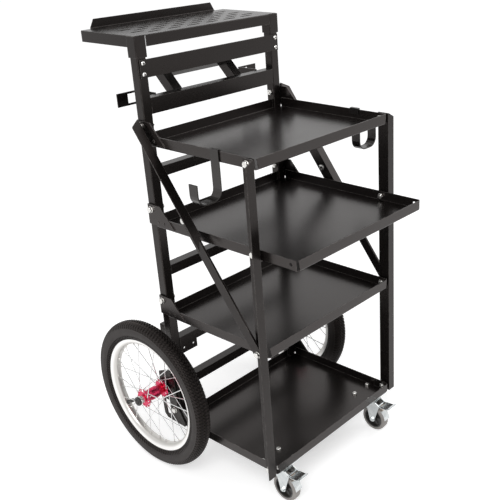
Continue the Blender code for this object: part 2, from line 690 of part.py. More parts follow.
def axle_plate(side_name, side):
    # A bent plate on the upright that carries the wheel's axle, with the axle and its nuts.
    axle_z = WHEEL_RADIUS
    top = axle_z + AXLE_PLATE_TOP
    rear = WHEEL_Y + AXLE_PLATE_REAR
    front = UPRIGHT_FRONT + AXLE_PLATE_SET_IN
    low = PIVOT_HEIGHTS[3] - AXLE_PLATE_FOOT
    shoulder = AXLE_PLATE_SHOULDER
    toe = front - AXLE_PLATE_TOE
    outline = [(front, axle_z - AXLE_PLATE_FRONT), (front, top), (UPRIGHT_REAR, top + shoulder),
               (rear, top - 3 * shoulder), (rear, axle_z - AXLE_PLATE_HEEL),
               (rear - shoulder, low + AXLE_PLATE_REAR), (rear - AXLE_PLATE_REAR, low + shoulder),
               (toe, low), (toe - shoulder / 2, low + 3 * shoulder),
               (front, PIVOT_HEIGHTS[3] + AXLE_PLATE_REAR)]
    pivot_hole = circle(PIVOT_Y, PIVOT_HEIGHTS[3], BOLT_HOLE)
    window_front = UPRIGHT_REAR + shoulder
    window = [(window_front, axle_z - AXLE_WINDOW_TOP), (rear - 3 * shoulder, axle_z - AXLE_WINDOW_TOP),
              (rear - 4 * shoulder, low + AXLE_WINDOW_FOOT), (window_front, low + AXLE_WINDOW_FOOT)]
    plate = flat("axle_plate_" + side_name, [outline, pivot_hole, window], "X",
                 side * AXLE_PLATE_INNER, side * AXLE_PLATE_OUTER, CART)
    middle = AXLE_PLATE_INNER + AXLE_PLATE_SHEET / 2
    pad = block("axle_pad_" + side_name, side * (HALF_SPREAD + GAP), side * middle,
                front, UPRIGHT_REAR - AXLE_PLATE_SET_IN / 2, AXLE_PAD_BOTTOM, top - shoulder)
    fuse(plate, pad)
    for height in (AXLE_PAD_BOTTOM + AXLE_BOLT_INSET, top - AXLE_BOLT_INSET):
        head = flat("axle_plate_bolt", [hexagon(PIVOT_Y, height, BOLT_ACROSS_FLATS)], "X",
                    side * middle, side * (AXLE_PLATE_OUTER + AXLE_BOLT_HEAD))
        fuse(plate, head)
    hub_inner = WHEEL_OFFSET - HUB_FLANGE_OFFSET - HUB_FLANGE_SHEET / 2 - HUB_BOSS_LENGTH
    hub_outer = WHEEL_OFFSET + HUB_FLANGE_OFFSET + HUB_FLANGE_SHEET / 2 + HUB_BOSS_LENGTH
    nut_end = hub_outer + GAP + AXLE_NUT_LENGTH
    step = AXLE_RADIUS + AXLE_SHOULDER
    profile = [(0, nut_end + AXLE_CAP_LENGTH), (AXLE_CAP_RADIUS - 0.003, nut_end + AXLE_CAP_LENGTH),
               (AXLE_CAP_RADIUS, nut_end + AXLE_CAP_LENGTH - 0.003), (AXLE_CAP_RADIUS, nut_end),
               (AXLE_RADIUS, nut_end), (AXLE_RADIUS, hub_inner - GAP), (step, hub_inner - GAP),
               (step, middle), (0, middle)]
    axle = turned("axle_" + side_name, profile, "X", 0, WHEEL_Y, axle_z, 16)
    nut = flat("axle_nut_" + side_name, [hexagon(WHEEL_Y, axle_z, AXLE_NUT_ACROSS)], "X",
               hub_outer + GAP, nut_end + 0.0005)
    if side < 0:
        axle.data.transform(Matrix.Rotation(math.pi, 4, "Z") @ Matrix.Translation((0, -2 * WHEEL_Y, 0)))
        nut.data.transform(Matrix.Rotation(math.pi, 4, "Z") @ Matrix.Translation((0, -2 * WHEEL_Y, 0)))
    return painted_black(fuse(plate, axle, nut))


# Shelves

def shelf_tray(number, bottom, front, extra_holes):
    name = "shelf_tray_" + str(number)
    mesh = bpy.data.meshes.new(name)
    half = TRAY_HALF_WIDTH
    inner = UPRIGHT_INNER - 3 * GAP
    behind = UPRIGHT_FRONT - 2 * GAP
    rear = TRAY_DEPTH
    work = bmesh.new()
    outline = [(-half + CORNER_NOTCH_FRONT, front), (half - CORNER_NOTCH_FRONT, front),
               (half, front + CORNER_NOTCH_SIDE), (half, behind), (inner, behind), (inner, rear),
               (-inner, rear), (-inner, behind), (-half, behind), (-half, front + CORNER_NOTCH_SIDE)]
    verts = [work.verts.new((x, y, bottom)) for x, y in outline]
    work.faces.new(verts)
    bends = [(verts[0], verts[1]), (verts[2], verts[3]), (verts[5], verts[6]), (verts[8], verts[9])]
    for pair in bends:
        raised = pulled_out(work, work.edges.get(pair))
        bmesh.ops.translate(work, vec=(0, 0, LIP_HEIGHT), verts=raised)
        if pair is bends[0]:
            stretch = (half - CORNER_NOTCH_TOP) / (half - CORNER_NOTCH_FRONT)
            bmesh.ops.scale(work, vec=(stretch, 1, 1), verts=raised)
    edges = [work.edges.get(pair) for pair in bends]
    bmesh.ops.bevel(work, geom=edges, offset=TRAY_BEND, segments=2, profile=0.5, affect="EDGES")
    work.to_mesh(mesh)
    work.free()
    tray = object_with(name, mesh, CART)
    floor = max(mesh.polygons, key=lambda face: face.area)
    if floor.normal.z > 0:
        mesh.flip_normals()
    solidify = tray.modifiers.new("sheet", "SOLIDIFY")
    solidify.thickness = TRAY_SHEET
    solidify.offset = -1
    solidify.use_even_offset = True
    pivot_z = bottom + PIVOT_RISE
    foot = bottom + PIVOT_PLATE_FOOT_RISE
    hole_y = [front + FRONT_BOLT_INSET] if front == 0 else [FRONT_BOLT_INSET, front + FRONT_BOLT_INSET]
    for side_name, side in SIDES:
        outline = [(PIVOT_Y + PIVOT_PLATE_REAR, pivot_z + PIVOT_PLATE_TOP),
                   (PIVOT_Y - PIVOT_PLATE_TOP_REACH, pivot_z + PIVOT_PLATE_TOP),
                   (PIVOT_Y - PIVOT_PLATE_FOOT_REACH, foot), (PIVOT_Y + PIVOT_PLATE_REAR, foot)]
        plate = flat(name + "_pivot_plate_" + side_name, [outline, circle(PIVOT_Y, pivot_z, BOLT_HOLE)], "X",
                     side * (TRAY_HALF_WIDTH - TRAY_SHEET / 3), side * PLATE_OUTER)
        fuse(tray, plate)
        for y in () if extra_holes else (UPRIGHT_FRONT - 0.010, UPRIGHT_FRONT - 0.030):
            rivet = drum("plate_rivet", "X", side * PLATE_OUTER, y, bottom + LIP_HEIGHT / 2 + 0.002,
                         PLATE_RIVET_RADIUS, -PLATE_RIVET_HEIGHT, PLATE_RIVET_HEIGHT, 8)
            fuse(tray, rivet)
        holes = [drum("hole", "X", side * half, y, bottom + FRONT_BOLT_RISE, BOLT_HOLE, -0.01, 0.01)
                 for y in hole_y]
        cut(tray, joined(name + "_front_holes_" + side_name, holes))
    if extra_holes:
        holes = []
        for side_name, side in SIDES:
            for step_x in (-1, 1):
                for step_y in (-1, 1):
                    x = side * CASTER_X + step_x * CASTER_BOLTS_X / 2
                    y = CASTER_Y + step_y * CASTER_BOLTS_Y / 2
                    radius = CASTER_BOLT_RADIUS + HOLE_PLAY
                    holes.append(drum("hole", "Z", x, y, bottom, radius, -0.01, 0.01, 8))
        cut(tray, joined(name + "_caster_holes", holes))
    set_origin(tray, 0, PIVOT_Y, pivot_z)
    return painted_black(tray)


# Bolts

def bolt_mesh(name, rounds, hexes):
    # Round steps (start, end, radius) and hexagons (start, end, across), outwards along +X.
    profile = [(0, rounds[0][0])]
    for start, end, radius in rounds:
        profile += [(radius, start), (radius, end)]
    profile.append((0, rounds[-1][1]))
    clean = [point for index, point in enumerate(profile) if index == 0 or point != profile[index - 1]]
    body = turned(name, clean, "X", 0, 0, 0, BOLT_STEPS)
    for start, end, across in hexes:
        fuse(body, flat(name + "_hexagon", [hexagon(0, 0, across)], "X", start, end))
    mesh = meshed(name, body)
    for obj in [obj for obj in CUTTERS.objects if obj.name.startswith(name + "_hexagon")]:
        bpy.data.objects.remove(obj, do_unlink=True)
    return mesh


def bolt_stack(name, inner_face, head_face, collars):
    # Nut against the inner face, head and washer against the head face, collars in between.
    nut_face = inner_face - GAP
    nut_start = nut_face - BOLT_NUT
    tail = nut_start - BOLT_TAIL
    washer_start = head_face + GAP
    head_start = washer_start + WASHER_HEIGHT
    rounds = []
    start = tail
    for low, high, radius in collars:
        if low > start:
            rounds.append((start, low, BOLT_RADIUS))
        rounds.append((low, high, radius))
        start = high
    rounds.append((start, washer_start, BOLT_RADIUS))
    rounds.append((washer_start, head_start, WASHER_RADIUS))
    hexes = [(nut_start, nut_face, BOLT_ACROSS_FLATS),
             (head_start - WASHER_HEIGHT / 2, head_start + BOLT_HEAD, BOLT_ACROSS_FLATS)]
    return bolt_mesh(name, rounds, hexes)


def place_bolts(name, mesh, y, z):
    for side_name, side in SIDES:
        own = mesh.copy()
        bolt = object_with(name + "_" + side_name, own, CART)
        if side < 0:
            own.transform(Matrix.Rotation(math.pi, 4, "Z"))
        bolt.location = (0, y, z)
        zinc_plated(bolt)


def all_bolts():
    lip_inner = TRAY_HALF_WIDTH - TRAY_SHEET
    spacer = (TRAY_HALF_WIDTH + GAP, POST_INNER - GAP, COLLAR_RADIUS)
    post_spacer = (POST_OUTER + GAP, BAR_INNER - GAP, COLLAR_RADIUS)
    plain = bolt_stack("front_bolt", lip_inner, POST_OUTER, [spacer])
    long = bolt_stack("front_bolt_stay", lip_inner, BAR_OUTER, [spacer, post_spacer])
    for number, height in enumerate(FRONT_BOLT_HEIGHTS, 1):
        place_bolts("front_bolt_" + str(number), long if number == 3 else plain, FRONT_BOLT_INSET, height)
    pivot = bolt_stack("pivot_bolt", UPRIGHT_INNER, PLATE_OUTER, [])
    spacer_end = PLATE_OUTER + GAP + PIVOT_SPACER_LENGTH
    collars = [(PLATE_OUTER + GAP, spacer_end, PIVOT_SPACER_RADIUS),
               (spacer_end, STAY_INNER - GAP, COLLAR_RADIUS)]
    stay = bolt_stack("pivot_bolt_stay", UPRIGHT_INNER, STAY_WEB_OUTER, collars)
    low = bolt_stack("pivot_bolt_low", UPRIGHT_INNER, AXLE_PLATE_OUTER, [])
    for number, (height, mesh) in enumerate(zip(PIVOT_HEIGHTS, (stay, pivot, pivot, low)), 1):
        place_bolts("pivot_bolt_" + str(number), mesh, PIVOT_Y, height)
    for mesh in (plain, long, pivot, stay, low):
        bpy.data.meshes.remove(mesh)


# Front posts

def front_post(side_name, side):
    top = SHELF_1_BOTTOM + LIP_HEIGHT
    bottom = SHELF_4_BOTTOM
    inner = side * POST_INNER
    outer = side * POST_OUTER
    tip = side * (POST_INNER + POST_FRONT_LEG)
    section = [(inner, 0), (tip, 0), (tip, POST_WALL), (outer, POST_WALL), (outer, POST_SIDE_LEG),
               (inner, POST_SIDE_LEG)]
    post = flat("front_post_" + side_name, [section], "Z", bottom, top, CART)
    beyond = tip + side * 0.001
    slope = [(beyond, top + 0.001), (beyond, top - POST_SLOPE), (tip, top - POST_SLOPE),
             (outer, top), (outer, top + 0.001)]
    wedge = flat("post_slope_" + side_name, [slope], "Y", -0.001, POST_WALL + 0.001)
    holes = [drum("hole", "X", side * POST_INNER, FRONT_BOLT_INSET, height, BOLT_HOLE, -0.01, 0.01)
             for height in FRONT_BOLT_HEIGHTS]
    cut(post, wedge, joined("post_holes_" + side_name, holes))
    return painted_black(set_origin(post, 0, FRONT_BOLT_INSET, FRONT_BOLT_HEIGHTS[0]))


# Folding stays

def stay_points(points):
    # Points given as distance along the stay from its top pivot and distance towards the front.
    made = []
    for along, across in points:
        place = STAY_TOP + STAY_DIRECTION * along + STAY_SIDEWAYS * across
        made.append((place.x, place.y))
    return made


def stay_angle(side_name, side):
    # The upper link: an angle bar whose web lies against the lower bar, with the elbow's bolt head.
    name = "stay_angle_" + side_name
    half = STAY_HALF_WIDTH
    bend = (half ** 2 + STAY_WEB_BULGE ** 2) / (2 * STAY_WEB_BULGE)
    spread = math.degrees(math.asin(half / bend))
    tip = STAY_WEB_END + STAY_WEB_BULGE
    web_line = [(STAY_TOP_REAR, -half)]
    web_line += arc(tip - bend, 0, bend, -spread, spread, 8)
    web_line.append((STAY_TOP_FRONT, half))
    hole = stay_points(circle(0, 0, BOLT_HOLE))
    web = flat(name, [stay_points(web_line), hole], "X", side * STAY_INNER, side * STAY_WEB_OUTER, CART)
    near = STAY_INNER
    far = STAY_INNER + STAY_FLANGE_REACH
    bow = STAY_FLANGE_CURVE
    slant = [(near, STAY_WEB_END)]
    for step in range(1, 5):
        share = step / 4
        rise = share * (STAY_FLANGE_END - STAY_WEB_END) - bow * math.sin(math.pi * share)
        slant.append((near + share * (far - near), STAY_WEB_END + rise))
    outline = [(near, STAY_TOP_FRONT), (far, STAY_TOP_FRONT + STAY_TOP_SLOPE)] + slant[::-1]
    outline = [(side * x, along) for x, along in outline]
    flange = flat(name + "_flange", [outline], "Z", half - STAY_SHEET, half)
    direction = STAY_DIRECTION
    across = STAY_SIDEWAYS
    flange.data.transform(Matrix(((1, 0, 0, 0), (0, direction.x, across.x, STAY_TOP.x),
                                  (0, direction.y, across.y, STAY_TOP.y), (0, 0, 0, 1))))
    tidy(flange.data)
    elbow_y, elbow_z = stay_points([(ELBOW_ALONG, ELBOW_ACROSS)])[0]
    head = drum(name + "_head", "X", 0, elbow_y, elbow_z, ELBOW_HEAD_RADIUS,
                side * (STAY_INNER - ELBOW_HEAD_HEIGHT), side * (STAY_INNER + STAY_SHEET / 2), 12)
    return painted_black(set_origin(fuse(web, flange, head), 0, PIVOT_Y, PIVOT_HEIGHTS[0]))


def stay_bar(side_name, side):
    # The lower bar of the stay, with a round eye at each end and the elbow's nut.
    name = "stay_bar_" + side_name
    elbow = Vector(stay_points([(ELBOW_ALONG, ELBOW_ACROSS)])[0])
    lean = math.degrees(math.atan2(*(STAY_FOOT - elbow).yx))
    line = arc(elbow.x, elbow.y, BAR_HALF_WIDTH, lean + 90, lean + 270, 8)
    line += arc(STAY_FOOT.x, STAY_FOOT.y, BAR_HALF_WIDTH, lean - 90, lean + 90, 8)
    hole = circle(STAY_FOOT.x, STAY_FOOT.y, BOLT_HOLE)
    bar = flat(name, [line, hole], "X", side * BAR_INNER, side * BAR_OUTER, CART)
    nut = flat(name + "_nut", [hexagon(elbow.x, elbow.y, BOLT_ACROSS_FLATS)], "X",
               side * (BAR_OUTER - BAR_SHEET / 2), side * (BAR_OUTER + ELBOW_NUT_HEIGHT))
    return painted_black(set_origin(fuse(bar, nut), 0, STAY_FOOT.x, STAY_FOOT.y))


# Hooks

def lip_hook(side_name, side, y):
    name = "lip_hook_" + side_name
    top = SHELF_1_BOTTOM + LIP_HEIGHT
    middle = HOOK_SHEET / 2
    inner_x = TRAY_HALF_WIDTH - TRAY_SHEET - GAP - middle
    outer_x = TRAY_HALF_WIDTH + GAP + middle
    top_z = top + GAP + middle
    bend = HOOK_BEND
    centre_z = HOOK_BOTTOM + middle + bend
    far_x = outer_x + bend + HOOK_FLAT
    path = [(inner_x, top - HOOK_RETURN), (inner_x, top_z), (outer_x, top_z)]
    path += arc(outer_x + bend, centre_z, bend, 180, 270, 5) + arc(far_x, centre_z, bend, 270, 360, 5)
    path += [(far_x + bend, HOOK_TIP_TOP)]
    outline = [(side * x, z) for x, z in ribbon(path, HOOK_SHEET)]
    hook = flat(name, [outline], "Y", y - HOOK_WIDTH / 2, y + HOOK_WIDTH / 2, CART)
    return painted_black(set_origin(hook, side * outer_x, y, top))


# Large wheels

def mirrored(points):
    return points + [(radius, -place) for radius, place in reversed(points)]


def wheel_tyre(side_name, side):
    radius = WHEEL_RADIUS
    wide = TYRE_HALF_WIDTH
    middle = radius - wide
    lip = RIM_RADIUS
    bead = lip - TYRE_BEAD_DEPTH
    seat = RIM_HALF_WIDTH - RIM_WALL - GAP
    inside = seat - 0.0020
    outer = [(bead, inside), (lip + GAP, seat), (lip + 0.0020, RIM_HALF_WIDTH + GAP),
             (middle - 0.009, wide * 0.96), (middle + 0.002, wide), (middle + 0.012, wide * 0.88),
             (radius - 0.003, wide * 0.52)]
    wall = TYRE_WALL
    inner = [(radius - wall - 0.002, 0), (middle + 0.006, wide - wall - 0.002),
             (lip + 0.003, RIM_HALF_WIDTH - wall - 0.003), (bead, inside - wall)]
    section = outer + [(radius, 0)] + [(r, -x) for r, x in reversed(outer)]
    section += [(r, -x) for r, x in reversed(inner)] + inner[1:]
    tyre = turned("tyre_" + side_name, section, "X", side * WHEEL_OFFSET, WHEEL_Y, radius,
                  WHEEL_STEPS, CART, True)
    reach = RIM_RADIUS - RIM_DEPTH
    valve = drum("valve_" + side_name, "Z", side * WHEEL_OFFSET, WHEEL_Y, radius, VALVE_RADIUS,
                 -(radius - wall), -(reach - VALVE_LENGTH + 0.006), 8)
    turn = Matrix.Translation((0, WHEEL_Y, radius)) @ Matrix.Rotation(math.radians(VALVE_TURN), 4, "X")
    valve.data.transform(turn @ Matrix.Translation((0, -WHEEL_Y, -radius)))
    fuse(tyre, valve)
    return paint(set_origin(tyre, side * WHEEL_OFFSET, WHEEL_Y, radius), RUBBER, 0.0, 0.7)


def wheel_rim(side_name, side):
    radius = RIM_RADIUS
    inner = radius - RIM_DEPTH
    half = RIM_HALF_WIDTH
    wall = RIM_WALL
    section = mirrored([(radius, half), (inner + 0.0035, half * 0.68), (inner, half * 0.34)])
    well = mirrored([(radius, half - wall), (inner + 0.0105, half * 0.74), (inner + 0.0085, half * 0.4)])
    section += list(reversed(well))
    rim = turned("rim_" + side_name, section, "X", side * WHEEL_OFFSET, WHEEL_Y, WHEEL_RADIUS,
                 WHEEL_STEPS, CART, True)
    work = bmesh.new()
    step = 2 * math.pi / SPOKES_PER_FLANGE
    sweep = step * SPOKE_CROSSINGS
    beside = HUB_FLANGE_SHEET / 2 + GAP + SPOKE_RADIUS
    for flange, flange_x in enumerate((-HUB_FLANGE_OFFSET, HUB_FLANGE_OFFSET)):
        for index in range(SPOKES_PER_FLANGE):
            direction = 1 if index % 2 else -1
            start_turn = step * (index + flange / 2)
            end_turn = start_turn + direction * sweep
            room = beside + (SPOKE_FLANGE_ROOM if direction * flange_x > 0 else 0)
            start = Vector((flange_x + direction * room, HUB_HOLE_CIRCLE * math.cos(start_turn),
                            HUB_HOLE_CIRCLE * math.sin(start_turn)))
            reach = inner + 0.003
            end = Vector((math.copysign(half * 0.14, flange_x), reach * math.cos(end_turn),
                          reach * math.sin(end_turn)))
            along = end - start
            place = Matrix.Translation((start + end) / 2) @ along.to_track_quat("Z", "Y").to_matrix().to_4x4()
            bmesh.ops.create_cone(work, cap_ends=True, segments=4, radius1=SPOKE_RADIUS, radius2=SPOKE_RADIUS,
                                  depth=along.length, matrix=place)
    bmesh.ops.translate(work, vec=(side * WHEEL_OFFSET, WHEEL_Y, WHEEL_RADIUS), verts=work.verts)
    mesh = bpy.data.meshes.new("spokes_" + side_name)
    work.to_mesh(mesh)
    work.free()
    tidy(mesh, 80)
    spokes = object_with("spokes_" + side_name, mesh, CUTTERS)
    fuse(rim, spokes)
    hole = drum("valve_hole_" + side_name, "Z", side * WHEEL_OFFSET, WHEEL_Y, WHEEL_RADIUS,
                VALVE_RADIUS + HOLE_PLAY, -(radius + 0.01), -(inner - 0.01), 8)
    turn = Matrix.Translation((0, WHEEL_Y, WHEEL_RADIUS)) @ Matrix.Rotation(math.radians(VALVE_TURN), 4, "X")
    hole.data.transform(turn @ Matrix.Translation((0, -WHEEL_Y, -WHEEL_RADIUS)))
    cut(rim, hole)
    return paint(set_origin(rim, side * WHEEL_OFFSET, WHEEL_Y, WHEEL_RADIUS), ZINC, 1.0, 0.25)


def wheel_hub(side_name, side):
    name = "hub_" + side_name
    offset = HUB_FLANGE_OFFSET
    sheet = HUB_FLANGE_SHEET / 2
    end = offset + sheet + HUB_BOSS_LENGTH
    bore = AXLE_RADIUS + RUNNING_GAP
    half_line = [(HUB_BOSS_RADIUS, end), (HUB_BOSS_RADIUS, offset - sheet), (HUB_WAIST, offset - 0.006),
                 (HUB_WAIST, 0.014), (HUB_BARREL, 0.011)]
    section = [(bore, end)] + mirrored(half_line) + [(bore, -end)]
    hub = turned(name, section, "X", side * WHEEL_OFFSET, WHEEL_Y, WHEEL_RADIUS, 16, CART, True)
    for label, place in (("inner", -1), ("outer", 1)):
        lobes = []
        for index in range(SPOKES_PER_FLANGE * 2):
            turn = math.pi * (index + (1 if place * side > 0 else 0)) / SPOKES_PER_FLANGE
            reach = HUB_FLANGE_RADIUS if index % 2 == 0 else HUB_FLANGE_RADIUS - 0.0022
            lobes.append((WHEEL_Y + reach * math.cos(turn), WHEEL_RADIUS + reach * math.sin(turn)))
        rings = [circle(WHEEL_Y, WHEEL_RADIUS, HUB_BOSS_RADIUS - 0.002, 16)]
        for index in range(SPOKES_PER_FLANGE):
            turn = 2 * math.pi * (index + (0.5 if place * side > 0 else 0)) / SPOKES_PER_FLANGE
            rings.append(circle(WHEEL_Y + HUB_HOLE_CIRCLE * math.cos(turn),
                                WHEEL_RADIUS + HUB_HOLE_CIRCLE * math.sin(turn), HUB_HOLE_RADIUS, 5))
        centre = side * WHEEL_OFFSET + place * side * offset
        flange = flat(name + "_" + label, [lobes] + rings, "X", centre - sheet, centre + sheet)
        fuse(hub, flange)
    return paint(set_origin(hub, side * WHEEL_OFFSET, WHEEL_Y, WHEEL_RADIUS), RED, 1.0, 0.3)


# Casters

def caster(side_name, side):
    x = side * CASTER_X
    y = CASTER_Y
    wheel_y = CASTER_Y - CASTER_TRAIL
    top = SHELF_4_BOTTOM - GAP
    plate_low = top - CASTER_PLATE_SHEET
    half_x = CASTER_PLATE_X / 2
    half_y = CASTER_PLATE_Y / 2
    outline = [(x + sx * (half_x - 0.004 * a), y + sy * (half_y - 0.004 * b))
               for sx, sy, a, b in ((-1, -1, 1, 0), (1, -1, 1, 0), (1, -1, 0, 1), (1, 1, 0, 1),
                                    (1, 1, 1, 0), (-1, 1, 1, 0), (-1, 1, 0, 1), (-1, -1, 0, 1))]
    plate = flat("caster_plate_" + side_name, [outline], "Z", plate_low, top, CART)
    race_low = plate_low - SWIVEL_HEIGHT
    pin_low = race_low - GAP - FORK_SHEET - 0.004
    race = [(0, plate_low + 0.001), (SWIVEL_RADIUS - 0.003, plate_low + 0.001),
            (SWIVEL_RADIUS, race_low + 0.003),
            (SWIVEL_RADIUS - 0.002, race_low), (KINGPIN_RADIUS, race_low), (KINGPIN_RADIUS, pin_low + 0.0035),
            (KINGPIN_RADIUS + 0.003, pin_low + 0.0035), (KINGPIN_RADIUS + 0.003, pin_low), (0, pin_low)]
    fuse(plate, turned("caster_race_" + side_name, race, "Z", x, y, 0, 14))
    nut_low = SHELF_4_BOTTOM + TRAY_SHEET + GAP
    for step_x in (-1, 1):
        for step_y in (-1, 1):
            bolt_x = x + step_x * CASTER_BOLTS_X / 2
            bolt_y = y + step_y * CASTER_BOLTS_Y / 2
            stud = drum("caster_stud", "Z", bolt_x, bolt_y, 0, CASTER_BOLT_RADIUS, top - 0.001,
                        nut_low + CASTER_NUT_HEIGHT + 0.0015, 8)
            nut = flat("caster_nut", [hexagon(bolt_x, bolt_y, CASTER_NUT_ACROSS)], "Z", nut_low,
                       nut_low + CASTER_NUT_HEIGHT)
            fuse(plate, stud, nut)
    zinc_plated(plate)

    fork_top = race_low - GAP
    fork_low = fork_top - FORK_SHEET
    leg_inner = CASTER_WIDTH / 2 + FORK_SIDE_PLAY
    leg_outer = leg_inner + FORK_SHEET
    front = wheel_y - FORK_AHEAD
    hinge_y = wheel_y - PEDAL_HINGE_AHEAD
    hinge_z = fork_low - PEDAL_HINGE_DROP
    side_x = leg_outer - FORK_STEP
    back_x = SWIVEL_RADIUS * 0.6
    crown = [(x - side_x, front + 0.005), (x + side_x, front + 0.005), (x + side_x, y + 0.011),
             (x + back_x, y + SWIVEL_RADIUS), (x - back_x, y + SWIVEL_RADIUS), (x - side_x, y + 0.011)]
    fork = flat("caster_fork_" + side_name, [crown, circle(x, y, KINGPIN_RADIUS + RUNNING_GAP)], "Z",
                fork_low, fork_top, CART)
    boss = CASTER_BOSS_RADIUS
    axle_z = CASTER_RADIUS
    for label, place in (("a", -1), ("b", 1)):
        leg_top = fork_top - FORK_STEP
        leg = [(y + 0.010, leg_top), (front + 0.004, leg_top)]
        leg += arc(hinge_y, hinge_z, PEDAL_EAR_RADIUS, 110, 220, 4)
        leg += arc(wheel_y, axle_z, boss, 170, 340, 6)
        leg += [(wheel_y + 0.016, fork_low - 0.026), (y + 0.010, fork_low - 0.010)]
        low = x + place * leg_inner
        high = x + place * leg_outer
        fuse(fork, flat("caster_leg_" + label + "_" + side_name, [leg], "X", low, high))
    axle = drum("caster_axle_" + side_name, "X", x, wheel_y, axle_z, CASTER_AXLE_RADIUS, -leg_outer - 0.001,
                leg_outer + 0.001)
    pin = drum("pedal_pin_" + side_name, "X", x, hinge_y, hinge_z, PEDAL_PIN_RADIUS, -leg_outer - 0.001,
               leg_outer + 0.001, 8)
    fuse(fork, axle, pin)
    for label, place in (("a", -1), ("b", 1)):
        start = x + place * (leg_outer - 0.001)
        end = x + place * (leg_outer + CASTER_HEAD_HEIGHT)
        outline = hexagon(wheel_y, axle_z, CASTER_NUT_ACROSS)
        fuse(fork, flat("caster_axle_head_" + label + "_" + side_name, [outline], "X", start, end))
    zinc_plated(set_origin(fork, x, y, fork_top))

    radius = CASTER_RADIUS
    half = CASTER_WIDTH / 2
    rim_radius = radius - TREAD_DEPTH
    bore = CASTER_AXLE_RADIUS + RUNNING_GAP
    tread_line = mirrored([(rim_radius + GAP, half), (radius - 0.003, half), (radius, half - 0.0045)])
    tread = turned("caster_tread_" + side_name, tread_line, "X", x, wheel_y, radius, 24, CART, True)
    paint(set_origin(tread, x, wheel_y, radius), GREY, 0.0, 0.6)
    web = CORE_WEB / 2
    core_line = [(bore, half)]
    core_line += mirrored([(0.0085, half), (0.0095, web), (rim_radius - 0.0035, web),
                           (rim_radius - 0.0025, half - 0.0005), (rim_radius, half - 0.0005)])
    core_line.append((bore, -half))
    core = turned("caster_core_" + side_name, core_line, "X", x, wheel_y, radius, 16, CART, True)
    paint(set_origin(core, x, wheel_y, radius), BLACK, 0.0, 0.5)

    # Brake pedal: a tread plate with a raised front edge, on two ears round the fork's pin.
    ahead = PEDAL_EAR_RADIUS + PEDAL_SHEET + PEDAL_EAR
    path = [(hinge_y - ahead, hinge_z + 0.001), (hinge_y - PEDAL_REACH, hinge_z + 0.003),
            (hinge_y - PEDAL_LIP_REACH, hinge_z + PEDAL_LIP_RISE)]
    pedal = flat("caster_pedal_" + side_name, [ribbon(path, PEDAL_SHEET)], "X", x - PEDAL_WIDTH / 2,
                 x + PEDAL_WIDTH / 2, CART)
    ear_line = arc(hinge_y, hinge_z, PEDAL_EAR_RADIUS, -90, 90, 6)
    ear_line += [(hinge_y - 2 * ahead, hinge_z + 0.0035), (hinge_y - 2 * ahead, hinge_z + 0.0015)]
    hole = circle(hinge_y, hinge_z, PEDAL_PIN_RADIUS + HOLE_PLAY, 8)
    for place in (-1, 1):
        outer = x + place * (leg_inner - GAP)
        fuse(pedal, flat("pedal_ear_" + side_name, [ear_line, hole], "X", outer - place * PEDAL_EAR, outer))
    return zinc_plated(set_origin(pedal, x, hinge_y, hinge_z))


# The whole cart

for side_name, side in SIDES:
    upright(side_name, side)
    cable_hanger(side_name, side)
    axle_plate(side_name, side)
    front_post(side_name, side)
    stay_angle(side_name, side)
    stay_bar(side_name, side)
    wheel_tyre(side_name, side)
    wheel_rim(side_name, side)
    wheel_hub(side_name, side)
    caster(side_name, side)

top_panel()
painted_black(cross_tube("slat_2", SLAT_2_BOTTOM, SLAT_2_HEIGHT))
painted_black(cross_tube("slat_3", SLAT_3_BOTTOM, UPRIGHT_SIDE))
painted_black(cross_tube("slat_4", SLAT_4_BOTTOM, UPRIGHT_SIDE))
bracket_beam()
push_handle()
painted_black(cross_tube("lower_beam", LOWER_BEAM_BOTTOM, UPRIGHT_SIDE))
top_tray()
for number, bottom in enumerate(SHELF_BOTTOMS, 1):
    shelf_tray(number, bottom, -DEEP_TRAY_EXTRA if number == 2 else 0, number == 4)
all_bolts()
lip_hook("left", -1, HOOK_LEFT_Y)
lip_hook("right", 1, HOOK_RIGHT_Y)

middle_y = (WHEEL_Y + WHEEL_RADIUS - DEEP_TRAY_EXTRA) / 2
for obj in bpy.data.objects:
    obj.location.y -= middle_y
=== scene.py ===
import math

import bmesh
import bpy
import numpy as np
from mathutils import Matrix, Vector


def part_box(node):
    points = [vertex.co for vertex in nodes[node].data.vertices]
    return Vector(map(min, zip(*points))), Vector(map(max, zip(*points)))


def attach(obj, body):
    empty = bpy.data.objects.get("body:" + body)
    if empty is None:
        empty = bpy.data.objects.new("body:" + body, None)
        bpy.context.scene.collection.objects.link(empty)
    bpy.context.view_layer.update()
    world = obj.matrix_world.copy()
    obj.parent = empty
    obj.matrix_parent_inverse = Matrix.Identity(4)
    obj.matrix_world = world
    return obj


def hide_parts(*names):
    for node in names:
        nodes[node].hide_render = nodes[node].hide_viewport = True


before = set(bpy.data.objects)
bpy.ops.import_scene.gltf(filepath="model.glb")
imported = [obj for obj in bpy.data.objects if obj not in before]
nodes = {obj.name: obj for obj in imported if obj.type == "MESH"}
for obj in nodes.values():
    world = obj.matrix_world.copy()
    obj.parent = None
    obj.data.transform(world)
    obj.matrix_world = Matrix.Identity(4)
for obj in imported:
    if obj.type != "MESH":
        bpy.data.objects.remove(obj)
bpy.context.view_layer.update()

sides = (("left", -1), ("right", 1))
print("frame loaded:", len(nodes), "nodes")


# Meshes from whole arrays

centreRadius = 0.0001  # a first or last row this near the axis, where a profile starts or ends


